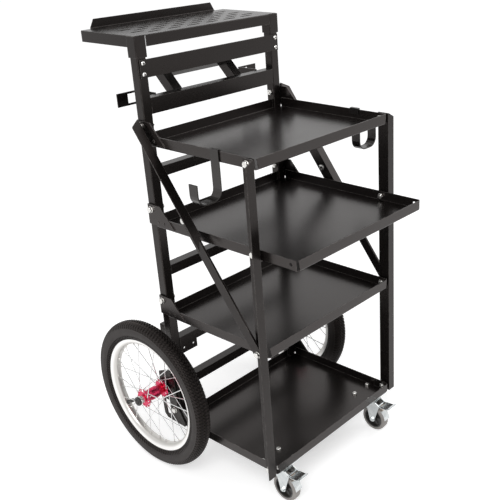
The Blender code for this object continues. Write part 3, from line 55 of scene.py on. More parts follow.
def gridFaces(rows, cols, closeRows, closeCols):
    # each quad joins neighbours (i, j), (i+1, j), (i+1, j+1), (i, j+1); closed directions wrap round
    i = np.arange(rows if closeRows else rows - 1)
    j = np.arange(cols if closeCols else cols - 1)
    i, j = np.meshgrid(i, j, indexing="ij")
    down = (i + 1) % rows
    across = (j + 1) % cols
    quads = np.stack([i * cols + j, down * cols + j, down * cols + across, i * cols + across], -1)
    return quads.reshape(-1, 4)


def surface(points, closeRows=False, closeCols=True):
    # one grid of points (rows, cols, 3) as vertices and quads
    rows, cols = points.shape[:2]
    return points.reshape(-1, 3), gridFaces(rows, cols, closeRows, closeCols)


def together(surfaces):
    # several surfaces in one list of vertices and quads
    counts = np.cumsum([0] + [len(points) for points, quads in surfaces])
    points = np.concatenate([points for points, quads in surfaces])
    quads = np.concatenate([quads + start for (_, quads), start in zip(surfaces, counts)])
    return points, quads


def fullTurn(steps):
    # even angles once round, the first one not repeated at the end
    return np.arange(steps) * 2 * np.pi / steps


def turnedAbout(profile, steps, centre, side=1, across=None, turn=0.0):
    # profile rows are (place along x, radius); a point is (x, r cos t, r sin t) about the centre.
    # Where across is above 0 the radius stops at a hexagon of that width over its flats.
    profile = np.asarray(profile, float)
    t = fullTurn(steps)
    r = np.repeat(profile[:, 1:2], steps, 1)
    if across is not None:
        flat = np.asarray(across, float)[:, None] / 2
        corner = (t + turn) % (np.pi / 3) - np.pi / 6
        hexagon = flat / np.cos(corner)[None, :]
        r = np.where(flat > 0, np.minimum(r, hexagon), r)
    x = np.repeat(side * profile[:, :1], steps, 1)
    return np.stack([x + centre[0], centre[1] + r * np.cos(t), centre[2] + r * np.sin(t)], -1)


def hexTurned(rows, steps, centre, side=1, turn=0.0):
    # rows are (place, radius, width over flats), and a width of 0 leaves that row round
    rows = np.array(rows)
    return turnedAbout(rows[:, :2], steps, centre, side, rows[:, 2], turn)


def mirrored(half):
    # a profile from its middle row out to one side, and back again on the other side
    return half + [(-x, r) for x, r in half[:0:-1]]


def smoothLine(points, count):
    # Catmull-Rom curve through the points, read at count even steps of its parameter
    last = len(points) - 1
    u = np.linspace(0, last, count)
    i = np.minimum(u.astype(int), last - 1)
    f = (u - i)[:, None]
    a, b, c, d = (points[np.clip(i + step, 0, last)] for step in (-1, 0, 1, 2))
    curve = 2 * b + (c - a) * f + (2 * a - 5 * b + 4 * c - d) * f ** 2 + (3 * b - a - 3 * c + d) * f ** 3
    return curve / 2


def tube(path, radii, ringSteps):
    # circle of each radius swept along the path, squared to the path at every ring
    path = np.asarray(path, float)
    along = np.gradient(path, axis=0)
    along /= np.linalg.norm(along, axis=1, keepdims=True)
    start = np.array([1.0, 0, 0]) if abs(along[0][0]) < 0.9 else np.array([0, 0, 1.0])
    first = np.cross(along, start)
    first /= np.linalg.norm(first, axis=1, keepdims=True)
    second = np.cross(along, first)
    t = fullTurn(ringSteps)
    ring = first[:, None] * np.cos(t)[None, :, None] + second[:, None] * np.sin(t)[None, :, None]
    return path[:, None] + ring * np.asarray(radii, float)[:, None, None]


mergeDistance = 2e-7  # closes seams and poles, and is far below any edge


def addPiece(name, shape, body, material, replaced=(), smoothAngle=30):
    # points and quads to a mesh: near points become one, faces turn outwards, and it rides its body
    points, quads = shape
    mesh = bpy.data.meshes.new(name)
    mesh.from_pydata(points.tolist(), [], quads.tolist())
    work = bmesh.new()
    work.from_mesh(mesh)
    bmesh.ops.remove_doubles(work, verts=work.verts, dist=mergeDistance)
    bmesh.ops.dissolve_degenerate(work, edges=work.edges, dist=mergeDistance / 2)
    bmesh.ops.recalc_face_normals(work, faces=work.faces)
    work.to_mesh(mesh)
    work.free()
    mesh.shade_smooth()
    mesh.set_sharp_from_angle(angle=math.radians(smoothAngle))
    mesh.materials.append(material)
    piece = bpy.data.objects.new(name, mesh)
    bpy.context.scene.collection.objects.link(piece)
    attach(piece, body)
    if replaced:
        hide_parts(*replaced)
    return piece


def addPointValues(piece, name, values):
    # one number at each point, for the piece's material to read
    layer = piece.data.attributes.new(name, "FLOAT", "POINT")
    layer.data.foreach_set("value", values.astype(np.float32))


def middleOf(node):
    # half way between the lowest and highest corners of a node's box
    low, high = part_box(node)
    return np.array((low + high) / 2)


# Shader groups that several materials share

def newGroup(name, inputs, outputs):
    # empty group with its named sockets, and its entry and exit nodes
    group = bpy.data.node_groups.new(name, "ShaderNodeTree")
    for label, kind, value in inputs:
        socket = group.interface.new_socket(name=label, in_out="INPUT", socket_type=kind)
        socket.default_value = value
    for label, kind in outputs:
        group.interface.new_socket(name=label, in_out="OUTPUT", socket_type=kind)
    entry = group.nodes.new("NodeGroupInput")
    leave = group.nodes.new("NodeGroupOutput")
    return group, entry, leave


def mathNode(tree, operation, first, second=None, third=None):
    # one Math node, where each argument is a number or another node's socket
    node = tree.nodes.new("ShaderNodeMath")
    node.operation = operation
    for slot, value in enumerate((first, second, third)):
        if isinstance(value, (int, float)):
            node.inputs[slot].default_value = value
        elif value is not None:
            tree.links.new(value, node.inputs[slot])
    return node.outputs[0]


def noiseNode(tree, place, scale, detail):
    # noise at a place, its scale given by a socket
    node = tree.nodes.new("ShaderNodeTexNoise")
    node.inputs["Detail"].default_value = detail
    node.inputs["Roughness"].default_value = 0.55
    tree.links.new(place, node.inputs["Vector"])
    tree.links.new(scale, node.inputs["Scale"])
    return node.outputs["Fac"]


def rangeNode(tree, value, low, high):
    # low becomes 0, high becomes 1, and the value is held between them
    node = tree.nodes.new("ShaderNodeMapRange")
    node.inputs["From Min"].default_value = low
    node.inputs["From Max"].default_value = high
    tree.links.new(value, node.inputs["Value"])
    return node.outputs["Result"]


def mixColour(tree, share, first, second):
    # first colour where the share is 0, second where it is 1
    node = tree.nodes.new("ShaderNodeMix")
    node.data_type = "RGBA"
    tree.links.new(share, node.inputs["Factor"])
    for socket, value in ((node.inputs[6], first), (node.inputs[7], second)):  # the colour sockets A and B
        if isinstance(value, tuple):
            socket.default_value = value
        else:
            tree.links.new(value, socket)
    return node.outputs[2]


def makeFinishGroup():
    # slow patches change colour and roughness, and fine grain gives the height for a bump
    colour = "NodeSocketColor"
    number = "NodeSocketFloat"
    group, entry, leave = newGroup("finishVariation", [
        ("Colour", colour, (0.5, 0.5, 0.5, 1)), ("Patch Colour", colour, (0.4, 0.4, 0.4, 1)),
        ("Patch Scale", number, 8.0), ("Patch Amount", number, 0.5), ("Roughness", number, 0.4),
        ("Roughness Spread", number, 0.05), ("Grain Scale", number, 800.0)],
        [("Colour", colour), ("Roughness", number), ("Grain", number)])
    place = group.nodes.new("ShaderNodeTexCoord").outputs["Object"]
    quickShare = 4.3  # roughness changes over smaller patches than colour
    slow = rangeNode(group, noiseNode(group, place, entry.outputs["Patch Scale"], 5.0), 0.36, 0.66)
    share = mathNode(group, "MULTIPLY", slow, entry.outputs["Patch Amount"])
    mixed = mixColour(group, share, entry.outputs["Colour"], entry.outputs["Patch Colour"])
    quickScale = mathNode(group, "MULTIPLY", entry.outputs["Patch Scale"], quickShare)
    wave = mathNode(group, "SUBTRACT", noiseNode(group, place, quickScale, 4.0), 0.5)
    width = mathNode(group, "MULTIPLY", entry.outputs["Roughness Spread"], 4.0)  # noise strays by a quarter
    swing = mathNode(group, "MULTIPLY", wave, width)
    rough = mathNode(group, "ADD", swing, entry.outputs["Roughness"])
    grain = noiseNode(group, place, entry.outputs["Grain Scale"], 2.0)
    group.links.new(mixed, leave.inputs["Colour"])
    group.links.new(rough, leave.inputs["Roughness"])
    group.links.new(grain, leave.inputs["Grain"])
    return group


bevelSamples = 4


def makeEdgeGroup():
    # a rounded normal differs from the true one only along edges, and noise breaks that line up; the mask
    # lets a lighter colour paint a highlight along the edges
    number = "NodeSocketFloat"
    group, entry, leave = newGroup("paintedEdgeHighlight", [
        ("Width", number, 0.001), ("Amount", number, 0.5), ("Break Scale", number, 60.0)],
        [("Mask", number)])
    rounded = group.nodes.new("ShaderNodeBevel")
    rounded.samples = bevelSamples
    group.links.new(entry.outputs["Width"], rounded.inputs["Radius"])
    true = group.nodes.new("ShaderNodeNewGeometry").outputs["Normal"]
    dot = group.nodes.new("ShaderNodeVectorMath")
    dot.operation = "DOT_PRODUCT"
    group.links.new(rounded.outputs["Normal"], dot.inputs[0])
    group.links.new(true, dot.inputs[1])
    differs = mathNode(group, "SUBTRACT", 1.0, dot.outputs["Value"])
    line = rangeNode(group, differs, 0.02, 0.2)
    place = group.nodes.new("ShaderNodeTexCoord").outputs["Object"]
    broken = rangeNode(group, noiseNode(group, place, entry.outputs["Break Scale"], 4.0), 0.35, 0.62)
    mask = mathNode(group, "MULTIPLY", mathNode(group, "MULTIPLY", line, broken), entry.outputs["Amount"])
    group.links.new(mask, leave.inputs["Mask"])
    return group


finishGroup = makeFinishGroup()
edgeGroup = makeEdgeGroup()


def placeGroup(tree, group, values):
    # one use of a shared group, with its own values
    node = tree.nodes.new("ShaderNodeGroup")
    node.node_tree = group
    for label, value in values.items():
        node.inputs[label].default_value = value
    return node


def newMaterial(name, look):
    # base colour goes through patches, then painted shade where an attribute marks a recess, then a painted
    # highlight along the edges;
    # grain bumps a normal that is rounded along the edges where the look asks for it
    material = bpy.data.materials.new(name)
    material.use_nodes = True
    tree = material.node_tree
    shader = tree.nodes["Principled BSDF"]
    shader.inputs["Metallic"].default_value = look.get("metallic", 0.0)
    shader.inputs["IOR"].default_value = look.get("ior", 1.5)
    shader.inputs["Specular Tint"].default_value = look.get("specularTint", (1, 1, 1, 1))
    finish = placeGroup(tree, finishGroup, {
        "Colour": look["colour"], "Patch Colour": look["patchColour"], "Patch Scale": look["patchScale"],
        "Patch Amount": look["patchAmount"], "Roughness": look["roughness"],
        "Roughness Spread": look["roughnessSpread"], "Grain Scale": look["grainScale"]})
    colour = finish.outputs["Colour"]
    # painted shade: a darker colour where the attribute marks a recess
    if "shadeMaskName" in look:
        depth = tree.nodes.new("ShaderNodeAttribute")
        depth.attribute_name = look["shadeMaskName"]
        colour = mixColour(tree, depth.outputs["Fac"], colour, look["recessShadeColour"])
    # painted highlight: a lighter colour mixed in along the edges
    if "edgeAmount" in look:
        edge = placeGroup(tree, edgeGroup, {"Width": look["edgeWidth"], "Amount": look["edgeAmount"]})
        colour = mixColour(tree, edge.outputs["Mask"], colour, look["edgeHighlightColour"])
    tree.links.new(colour, shader.inputs["Base Color"])
    tree.links.new(finish.outputs["Roughness"], shader.inputs["Roughness"])
    bump = tree.nodes.new("ShaderNodeBump")
    bump.inputs["Strength"].default_value = look["grainStrength"]
    bump.inputs["Distance"].default_value = look["grainDepth"]
    tree.links.new(finish.outputs["Grain"], bump.inputs["Height"])
    if "roundEdges" in look:
        rounded = tree.nodes.new("ShaderNodeBevel")
        rounded.samples = bevelSamples
        rounded.inputs["Radius"].default_value = look["roundEdges"]
        tree.links.new(rounded.outputs["Normal"], bump.inputs["Normal"])
    tree.links.new(bump.outputs["Normal"], shader.inputs["Normal"])
    return material


# the edge colour is a painted highlight along the edges
coatLook = {
    "colour": (0.0036, 0.0030, 0.0028, 1), "patchColour": (0.0066, 0.0056, 0.0051, 1), "patchScale": 7.0,
    "patchAmount": 0.6, "roughness": 0.27, "roughnessSpread": 0.012, "grainScale": 1400.0, "ior": 1.38,
    "grainStrength": 0.03, "grainDepth": 0.00002, "roundEdges": 0.0009, "specularTint": (1, 0.88, 0.84, 1),
    "edgeWidth": 0.0016, "edgeAmount": 0.8, "edgeHighlightColour": (0.19, 0.175, 0.165, 1)}
blackCoat = newMaterial("blackCoat", coatLook)
shelfCoat = newMaterial("shelfCoat", {**coatLook, "ior": 1.49, "roughness": 0.25})  # the shelves shine more
# the edge colour is a painted highlight along the edges
hookCoat = newMaterial("hookCoat", {
    "colour": (0.0060, 0.0055, 0.0052, 1), "patchColour": (0.014, 0.013, 0.012, 1), "patchScale": 20.0,
    "patchAmount": 0.5, "roughness": 0.22, "roughnessSpread": 0.03, "grainScale": 1600.0, "ior": 1.5,
    "specularTint": (1, 0.93, 0.90, 1),
    "grainStrength": 0.08, "grainDepth": 0.0002, "roundEdges": 0.0008,
    "edgeWidth": 0.0010, "edgeAmount": 0.4, "edgeHighlightColour": (0.16, 0.15, 0.14, 1)})
brightZinc = newMaterial("brightZinc", {
    "colour": (0.78, 0.77, 0.75, 1), "patchColour": (0.62, 0.61, 0.58, 1), "patchScale": 60.0,
    "patchAmount": 0.6, "roughness": 0.27, "roughnessSpread": 0.08, "grainScale": 900.0,
    "grainStrength": 0.12, "grainDepth": 0.0002, "metallic": 1.0})
sheetZinc = newMaterial("sheetZinc", {
    "colour": (0.66, 0.68, 0.68, 1), "patchColour": (0.50, 0.53, 0.54, 1), "patchScale": 70.0,
    "patchAmount": 0.6, "roughness": 0.22, "roughnessSpread": 0.08, "grainScale": 700.0,
    "grainStrength": 0.12, "grainDepth": 0.0002, "metallic": 1.0, "roundEdges": 0.0006})
# the darker channel colour is painted shade on the rim's inner channel
rimMetal = newMaterial("rimMetal", {
    "colour": (0.90, 0.885, 0.87, 1), "patchColour": (0.80, 0.785, 0.765, 1), "patchScale": 14.0,
    "shadeMaskName": "channel", "recessShadeColour": (0.60, 0.585, 0.56, 1),
    "patchAmount": 0.5, "roughness": 0.34, "roughnessSpread": 0.05, "grainScale": 500.0,
    "grainStrength": 0.05, "grainDepth": 0.0002, "metallic": 1.0})
spokeSteel = newMaterial("spokeSteel", {
    "colour": (0.80, 0.80, 0.80, 1), "patchColour": (0.62, 0.62, 0.62, 1), "patchScale": 40.0,
    "patchAmount": 0.5, "roughness": 0.22, "roughnessSpread": 0.05, "grainScale": 600.0,
    "grainStrength": 0.05, "grainDepth": 0.0001, "metallic": 1.0})
nippleMetal = newMaterial("nippleMetal", {
    "colour": (0.66, 0.65, 0.63, 1), "patchColour": (0.48, 0.47, 0.45, 1), "patchScale": 90.0,
    "patchAmount": 0.6, "roughness": 0.34, "roughnessSpread": 0.06, "grainScale": 900.0,
    "grainStrength": 0.1, "grainDepth": 0.0001, "metallic": 1.0})
hubRed = newMaterial("hubRed", {
    "colour": (0.66, 0.040, 0.115, 1), "patchColour": (0.54, 0.030, 0.090, 1), "patchScale": 40.0,
    "patchAmount": 0.5, "roughness": 0.26, "roughnessSpread": 0.05, "grainScale": 900.0,
    "grainStrength": 0.06, "grainDepth": 0.0001, "metallic": 0.85})
# the darker groove colour is painted shade in the tread's grooves
tyreRubber = newMaterial("tyreRubber", {
    "colour": (0.0070, 0.0056, 0.0052, 1), "patchColour": (0.016, 0.0132, 0.0120, 1), "patchScale": 12.0,
    "patchAmount": 0.7, "roughness": 0.44, "roughnessSpread": 0.05, "grainScale": 1100.0,
    "grainStrength": 0.3, "grainDepth": 0.0003, "ior": 1.36, "shadeMaskName": "grooveDepth",
    "specularTint": (1, 0.87, 0.83, 1), "recessShadeColour": (0.0010, 0.0009, 0.0009, 1)})
valveRubber = newMaterial("valveRubber", {
    "colour": (0.010, 0.0095, 0.009, 1), "patchColour": (0.018, 0.017, 0.016, 1), "patchScale": 60.0,
    "patchAmount": 0.6, "roughness": 0.42, "roughnessSpread": 0.05, "grainScale": 1500.0,
    "grainStrength": 0.2, "grainDepth": 0.0002})
treadRubber = newMaterial("treadRubber", {
    "colour": (0.30, 0.28, 0.265, 1), "patchColour": (0.22, 0.205, 0.19, 1), "patchScale": 45.0,
    "patchAmount": 0.6, "roughness": 0.48, "roughnessSpread": 0.05, "grainScale": 1300.0,
    "grainStrength": 0.2, "grainDepth": 0.0002})
corePlastic = newMaterial("corePlastic", {
    "colour": (0.022, 0.020, 0.019, 1), "patchColour": (0.036, 0.033, 0.031, 1), "patchScale": 50.0,
    "patchAmount": 0.6, "roughness": 0.38, "roughnessSpread": 0.05, "grainScale": 1800.0,
    "grainStrength": 0.15, "grainDepth": 0.0002})
capBlack = newMaterial("capBlack", {
    "colour": (0.016, 0.0152, 0.0145, 1), "patchColour": (0.028, 0.026, 0.025, 1), "patchScale": 60.0,
    "patchAmount": 0.6, "roughness": 0.40, "roughnessSpread": 0.05, "grainScale": 1500.0,
    "grainStrength": 0.15, "grainDepth": 0.0002})
padTan = newMaterial("padTan", {
    "colour": (0.70, 0.58, 0.47, 1), "patchColour": (0.60, 0.49, 0.40, 1), "patchScale": 60.0,
    "patchAmount": 0.6, "roughness": 0.45, "roughnessSpread": 0.05, "grainScale": 1500.0,
    "grainStrength": 0.15, "grainDepth": 0.0002})

finishByStart = {"lip_hook": hookCoat, "caster_plate": sheetZinc, "caster_fork": sheetZinc,
                 "caster_pedal": sheetZinc, "shelf_tray": shelfCoat}
for nodeName, node in nodes.items():
    matches = [finish for start, finish in finishByStart.items() if nodeName.startswith(start)]
    finish = matches[0] if matches else blackCoat
    if not node.material_slots:
        node.data.materials.append(finish)
    for materialSlot in node.material_slots:
        materialSlot.material = finish
print("materials made and given to the frame's nodes")


# Tyres

tyreSizes = {
    "radius": 0.2030, "halfWidth": 0.0217, "beadRadius": 0.1527, "wall": 0.0035,
    "around": 1040, "outline": 84, "blocksAround": 130, "treadHalf": 0.0196, "treadFade": 0.0022,
    "grooveDepth": 0.0036, "rowPitch": 0.0060, "rowGap": 0.28, "blockGap": 0.40, "slant": 0.35,
    "shoulderShare": 0.86, "sideDrop": 0.0004, "sideStart": 0.018,
    "ringHeight": 0.0009, "ringRadii": (0.1885, 0.1690), "ringWidths": (0.0011, 0.0009),
}


def tyreOutline():
    # (place along the axle, radius) from one bead over the crown to the other, then back inside
    wide = tyreSizes["halfWidth"]
    top = tyreSizes["radius"]
    bead = tyreSizes["beadRadius"]
    wall = tyreSizes["wall"]
    half = [(0.0108, bead), (0.0130, 0.1590), (0.0156, 0.1608), (0.0190, 0.1660), (wide * 0.968, 0.1725),
            (wide * 0.995, 0.1795), (wide * 0.985, 0.1865), (wide * 0.92, 0.1925), (wide * 0.79, 0.1970),
            (wide * 0.58, 0.2003), (wide * 0.30, 0.2024), (0, top)]
    crown = smoothLine(np.array(half + [(-x, r) for x, r in half[-2::-1]]), tyreSizes["outline"])
    crown[:, 1] = np.minimum(crown[:, 1], top)
    lining = [(0.0090, bead), (0.0120, 0.1630), (wide - wall - 0.001, 0.1790), (0.0110, top - wall - 0.004)]
    inner = [(-x, r) for x, r in lining] + [(0, top - wall - 0.002)] + lining[::-1]
    return crown, np.array(inner)


def treadDepth(crown, t):
    # groove depth at every point: none on a block, where both its row and its step are inside their gaps
    s = tyreSizes
    spread = np.abs(crown[:, 0])
    length = np.concatenate([[0], np.cumsum(np.hypot(np.diff(crown[:, 0]), np.diff(crown[:, 1])))])
    fromMiddle = (length - length[-1] / 2) / s["rowPitch"]
    row = fromMiddle + 0.5
    inRow = np.abs(row - np.floor(row) - 0.5) < 0.5 - s["rowGap"] / 2
    step = t[None, :] * s["blocksAround"] / (2 * np.pi)
    shift = np.floor(row)[:, None] * 0.5 + np.abs(fromMiddle)[:, None] * s["slant"]
    inStep = np.abs((step + shift) % 1 - 0.5) < 0.5 - s["blockGap"] / 2
    shoulder = (spread > s["treadHalf"] * s["shoulderShare"])[:, None]
    block = np.where(shoulder, inStep, inRow[:, None] & inStep)
    fade = np.clip((s["treadHalf"] + s["treadFade"] - spread) / s["treadFade"], 0, 1)[:, None]
    return np.where(block, 0, s["grooveDepth"]) * fade


def makeTyre(centre):
    # crown radius minus the tread's depth, with a raised bell-shaped ring at two radii of each side wall
    crown, inner = tyreOutline()
    steps = tyreSizes["around"]
    t = fullTurn(steps)
    x, radius = crown.T
    depth = treadDepth(crown, t)
    bells = [np.exp(-((radius - place) / width) ** 2)
             for place, width in zip(tyreSizes["ringRadii"], tyreSizes["ringWidths"])]
    drop = tyreSizes["sideDrop"] * (np.abs(x) > tyreSizes["sideStart"])
    across = (x + np.sign(x) * (tyreSizes["ringHeight"] * sum(bells) - drop))[:, None]
    r = radius[:, None] - depth
    x = across + centre[0] + 0 * r
    outside = np.stack([x, centre[1] + r * np.cos(t), centre[2] + r * np.sin(t)], -1)
    inside = turnedAbout(inner, steps, centre)
    # the groove depth also darkens the groove bottoms as painted shade
    grooves = np.concatenate([(depth / tyreSizes["grooveDepth"]).ravel(), np.zeros(len(inner) * steps)])
    return surface(np.concatenate([outside, inside]), closeRows=True), grooves


wheelCentres = {}
for sideName, side in sides:
    centre = middleOf("rim_" + sideName)
    centre[2] = tyreSizes["radius"]
    wheelCentres[sideName] = centre
    shape, grooves = makeTyre(centre)
    shell = addPiece("tyreShell_" + sideName, shape, "wheel_" + sideName, tyreRubber,
                     ["tyre_" + sideName], 25)
    addPointValues(shell, "grooveDepth", grooves)
print("tyres made")


# Rims, spokes, hubs and valves

# channelShare and channelDepth bound the painted shade on the channel's floor
rimSizes = {"radius": 0.1585, "inner": 0.1410, "half": 0.0150, "steps": 240, "channelShare": 0.75,
            "channelDepth": 0.006}


def makeRim(centre):
    # the channel seen from the hub, rolled edges, and the well under the tyre, all turned about the axle
    top = rimSizes["radius"]
    low = rimSizes["inner"]
    half = rimSizes["half"]
    profile = mirrored([
        (0, low), (half * 0.26, low), (half * 0.40, low + 0.0006), (half * 0.62, low + 0.0026),
        (half * 0.70, low + 0.0040), (half * 0.90, low + 0.0095), (half * 0.94, low + 0.0120),
        (half * 0.97, top - 0.0028), (half, top - 0.0020), (half, top - 0.0007), (half * 0.97, top - 0.0001),
        (half * 0.92, top - 0.0002), (half * 0.90, top - 0.0010), (half * 0.86, low + 0.0120),
        (half * 0.74, low + 0.0105), (half * 0.40, low + 0.0085)])
    x, r = np.array(profile).T
    # the channel's floor is marked for painted shade
    inChannel = (np.abs(x) < half * rimSizes["channelShare"]) & (r < low + rimSizes["channelDepth"])
    points = turnedAbout(profile, rimSizes["steps"], centre)
    return surface(points, closeRows=True), np.repeat(inChannel, rimSizes["steps"])


hubSizes = {
    "flangeOffset": 0.0290, "flangeRadius": 0.0252, "flangeHalf": 0.0015, "flangeBore": 0.0100,
    "bore": 0.0064, "edge": 0.0006, "lobes": 14, "lobeDepth": 0.0024, "lobeStart": 0.2, "lobePower": 0.8,
    "barrelSteps": 64, "flangeSteps": 280,
}
spokeSizes = {
    "each": 14, "crossings": 2, "radius": 0.0012, "headRadius": 0.0019, "holeCircle": 0.0220,
    "clearance": 0.0012, "crossing": 0.0016, "rimOffset": 0.0021, "rimOverlap": 0.0005, "steps": 8,
    "nippleRadius": 0.0019, "nippleLength": 0.009, "nippleInset": 0.002,
}


def spokeEnds(flange, index):
    # the hole is at a step on the flange's circle, and the rim end lies some steps further on or back
    s = spokeSizes
    step = 2 * math.pi / s["each"]
    direction = 1 if index % 2 else -1
    flangeX = hubSizes["flangeOffset"] * (1 if flange else -1)
    startTurn = step * (index + flange / 2)
    endTurn = startTurn + direction * step * s["crossings"]
    room = hubSizes["flangeHalf"] + s["clearance"] + (s["crossing"] if direction * flangeX > 0 else 0)
    ring = s["holeCircle"]
    reach = rimSizes["inner"] + s["rimOverlap"]
    hole = np.array([flangeX, ring * math.cos(startTurn), ring * math.sin(startTurn)])
    offset = math.copysign(s["rimOffset"], flangeX)
    end = np.array([offset, reach * math.cos(endTurn), reach * math.sin(endTurn)])
    return hole, end, direction * room


def makeSpokes(centre):
    # each wire leaves a round head, passes the flange, bends over and runs straight to its nipple
    s = spokeSizes
    wires = []
    nipples = []
    size = s["nippleRadius"]
    marks = np.array([0, 0.0001, 0.0030, 0.0035, s["nippleLength"], s["nippleLength"] + 0.0002])
    nippleRadii = (centreRadius, size * 1.3, size * 1.3, size, size * 0.85, centreRadius)
    wireRadii = [centreRadius, s["headRadius"], s["radius"] + 0.0002] + [s["radius"]] * 8
    for flange in (0, 1):
        for index in range(s["each"]):
            hole, end, room = spokeEnds(flange, index)
            out = np.array([room, 0, 0])
            start = hole + out
            straight = (end - start) / np.linalg.norm(end - start)
            path = [hole - out * 1.35, hole - out * 1.3, hole - out * 0.9, hole, hole + out * 0.75,
                    start + straight * 0.0012, start + straight * 0.004]
            path += [start + (end - start) * share for share in (0.3, 0.6, 0.9, 1.0)]
            wires.append(surface(tube(np.array(path) + centre, wireRadii, s["steps"])))
            line = end + straight * (s["nippleInset"] - marks[:, None])
            nipples.append(surface(tube(line + centre, nippleRadii, s["steps"])))
    return together(wires), together(nipples)


def makeHub(centre):
    # barrel turned about the axle, and two flanges whose radius dips between pairs of spoke holes
    s = hubSizes
    offset = s["flangeOffset"]
    half = s["flangeHalf"]
    end = offset + half + 0.003
    right = [(end, s["bore"]), (end, 0.0092), (end - 0.0008, 0.0102), (offset - half, 0.0108),
             (offset - 0.0040, 0.0128), (0.0215, 0.0132), (0.0175, 0.0134), (0.0140, 0.0142),
             (0.0110, 0.0153), (0.0070, 0.0157), (0.0, 0.0158)]
    barrel = right + [(-x, r) for x, r in right[-2::-1]]
    shapes = [surface(turnedAbout(barrel, s["barrelSteps"], centre), closeRows=True)]
    t = fullTurn(s["flangeSteps"])
    bore = s["flangeBore"] + 0 * t
    for place, phase in ((-offset, 0.0), (offset, math.pi / spokeSizes["each"])):
        wave = s["lobeStart"] - np.cos((t - phase) * s["lobes"])
        dip = np.clip(wave / (1 + s["lobeStart"]), 0, 1) ** s["lobePower"]
        rim = s["flangeRadius"] - s["lobeDepth"] * dip
        rows = [(place - half, bore), (place - half, rim - s["edge"]), (place - half * 0.6, rim),
                (place + half * 0.6, rim), (place + half, rim - s["edge"]), (place + half, bore)]
        points = np.stack([np.stack([x + 0 * t, r * np.cos(t), r * np.sin(t)], -1) for x, r in rows])
        shapes.append(surface(points + centre, closeRows=True))
    return together(shapes)


valveSizes = {"turn": 57.86, "ribs": 12, "ribHeight": 0.04, "ribEnd": 0.126, "steps": 48}


def makeValve(centre):
    # stem and ribbed cap, standing inwards from the rim; rows are (distance from the axle, radius)
    rows = np.array([
        (0.1425, centreRadius), (0.1425, 0.0056), (0.1400, 0.0054), (0.1380, 0.0042), (0.1270, 0.0039),
        (0.1264, 0.0048), (0.1252, 0.0052), (0.1125, 0.0050), (0.1113, 0.0042), (0.1110, centreRadius)])
    turn = math.radians(valveSizes["turn"])
    t = fullTurn(valveSizes["steps"])
    height, radius = rows[:, :1], rows[:, 1:]
    ribs = valveSizes["ribHeight"] * np.sign(np.cos(valveSizes["ribs"] * t)) * (height < valveSizes["ribEnd"])
    r = (radius * (1 + ribs))[:, :, None]
    across = np.array([1.0, 0, 0])
    outwards = np.array([0, math.sin(turn), -math.cos(turn)])
    circle = np.cos(t)[:, None] * across + np.sin(t)[:, None] * np.cross(outwards, across)
    return surface(height[:, :, None] * outwards + r * circle + centre)


for sideName, side in sides:
    centre = wheelCentres[sideName]
    body = "wheel_" + sideName
    shape, channel = makeRim(centre)
    ring = addPiece("rimRing_" + sideName, shape, body, rimMetal, ["rim_" + sideName])
    addPointValues(ring, "channel", channel)
    wires, nipples = makeSpokes(centre)
    addPiece("spokes_" + sideName, wires, body, spokeSteel, (), 50)
    addPiece("nipples_" + sideName, nipples, body, nippleMetal, (), 40)
    addPiece("hubShell_" + sideName, makeHub(centre), body, hubRed, ["hub_" + sideName])
    addPiece("valve_" + sideName, makeValve(centre), body, valveRubber)
print("rims, spokes, hubs and valves made")


# Bolts, nuts and screws

boltSizes = {
    "radius": 0.0040, "across": 0.0130, "head": 0.0050, "nut": 0.0060, "tail": 0.0020, "gap": 0.0003,
    "thread": 0.0005, "threads": 2, "threadPitch": 0.0006, "washerRadius": 0.0080, "washer": 0.0013,
    "collar": 0.0068, "spacerRadius": 0.0105, "spacerLength": 0.0022, "steps": 72,
}
faces = {  # distances from the middle plane
    "lipInner": 0.2247, "trayOuter": 0.2262, "plateOuter": 0.2287, "postInner": 0.2312, "postOuter": 0.2337,
    "stayInner": 0.2360, "webOuter": 0.2380, "barInner": 0.2383, "barOuter": 0.2436, "axlePlateOuter": 0.2321,
    "uprightInner": 0.1994,
}


def hexRows(start, end, across, bevelStart=False):
    # a hexagon reaches across / root 3 at its corners, which are chamfered at the ends that show
    bevel = 0.0009
    point = across / math.sqrt(3)
    cut = across / 2 * 0.97
    return [(start, cut if bevelStart else point, across), (start + bevel, point, across),
            (end - bevel, point, across), (end, cut, across)]


def discRows(start, end, radius, edge, inner):
    # a flat disc with a small chamfer, rising from the inner radius and going back to it
    return [(start, inner, 0), (start, radius - edge, 0), (start + edge, radius, 0), (end - edge, radius, 0),
            (end, radius - edge, 0), (end, inner, 0)]


def makeBolt(innerFace, headFace, collars, centre, side):
    # rows of (place, radius, hexagon) from the thread's end to the head, with collars between
    s = boltSizes
    r = s["radius"]
    nutFace = innerFace - s["gap"]
    nutStart = nutFace - s["nut"]
    tail = nutStart - s["tail"]
    rows = [(tail, centreRadius / 10, 0), (tail, r - 0.0009, 0), (tail + 0.0005, r - 0.0002, 0)]
    for turn in range(s["threads"]):
        start = tail + (turn + 1) * s["threadPitch"]
        rows += [(start, r - s["thread"], 0), (start + s["threadPitch"] / 2, r, 0)]
    rows += [(nutStart, r, 0)] + hexRows(nutStart, nutFace, s["across"], True) + [(nutFace, r, 0)]
    for start, end, radius in collars:
        rows += discRows(start, end, radius, 0.0002, r)
    washerStart = headFace + s["gap"]
    headStart = washerStart + s["washer"]
    headEnd = headStart + s["head"]
    rows += discRows(washerStart, headStart, s["washerRadius"], 0.0003, r)[:-1]
    rows += hexRows(headStart, headEnd, s["across"])
    rows += [(headEnd, s["across"] / 2 * 0.75, 0), (headEnd - 0.0003, s["across"] / 2 * 0.70, 0),
             (headEnd - 0.0003, centreRadius / 10, 0)]
    return surface(hexTurned(rows, s["steps"], (0, centre[1], centre[2]), side))


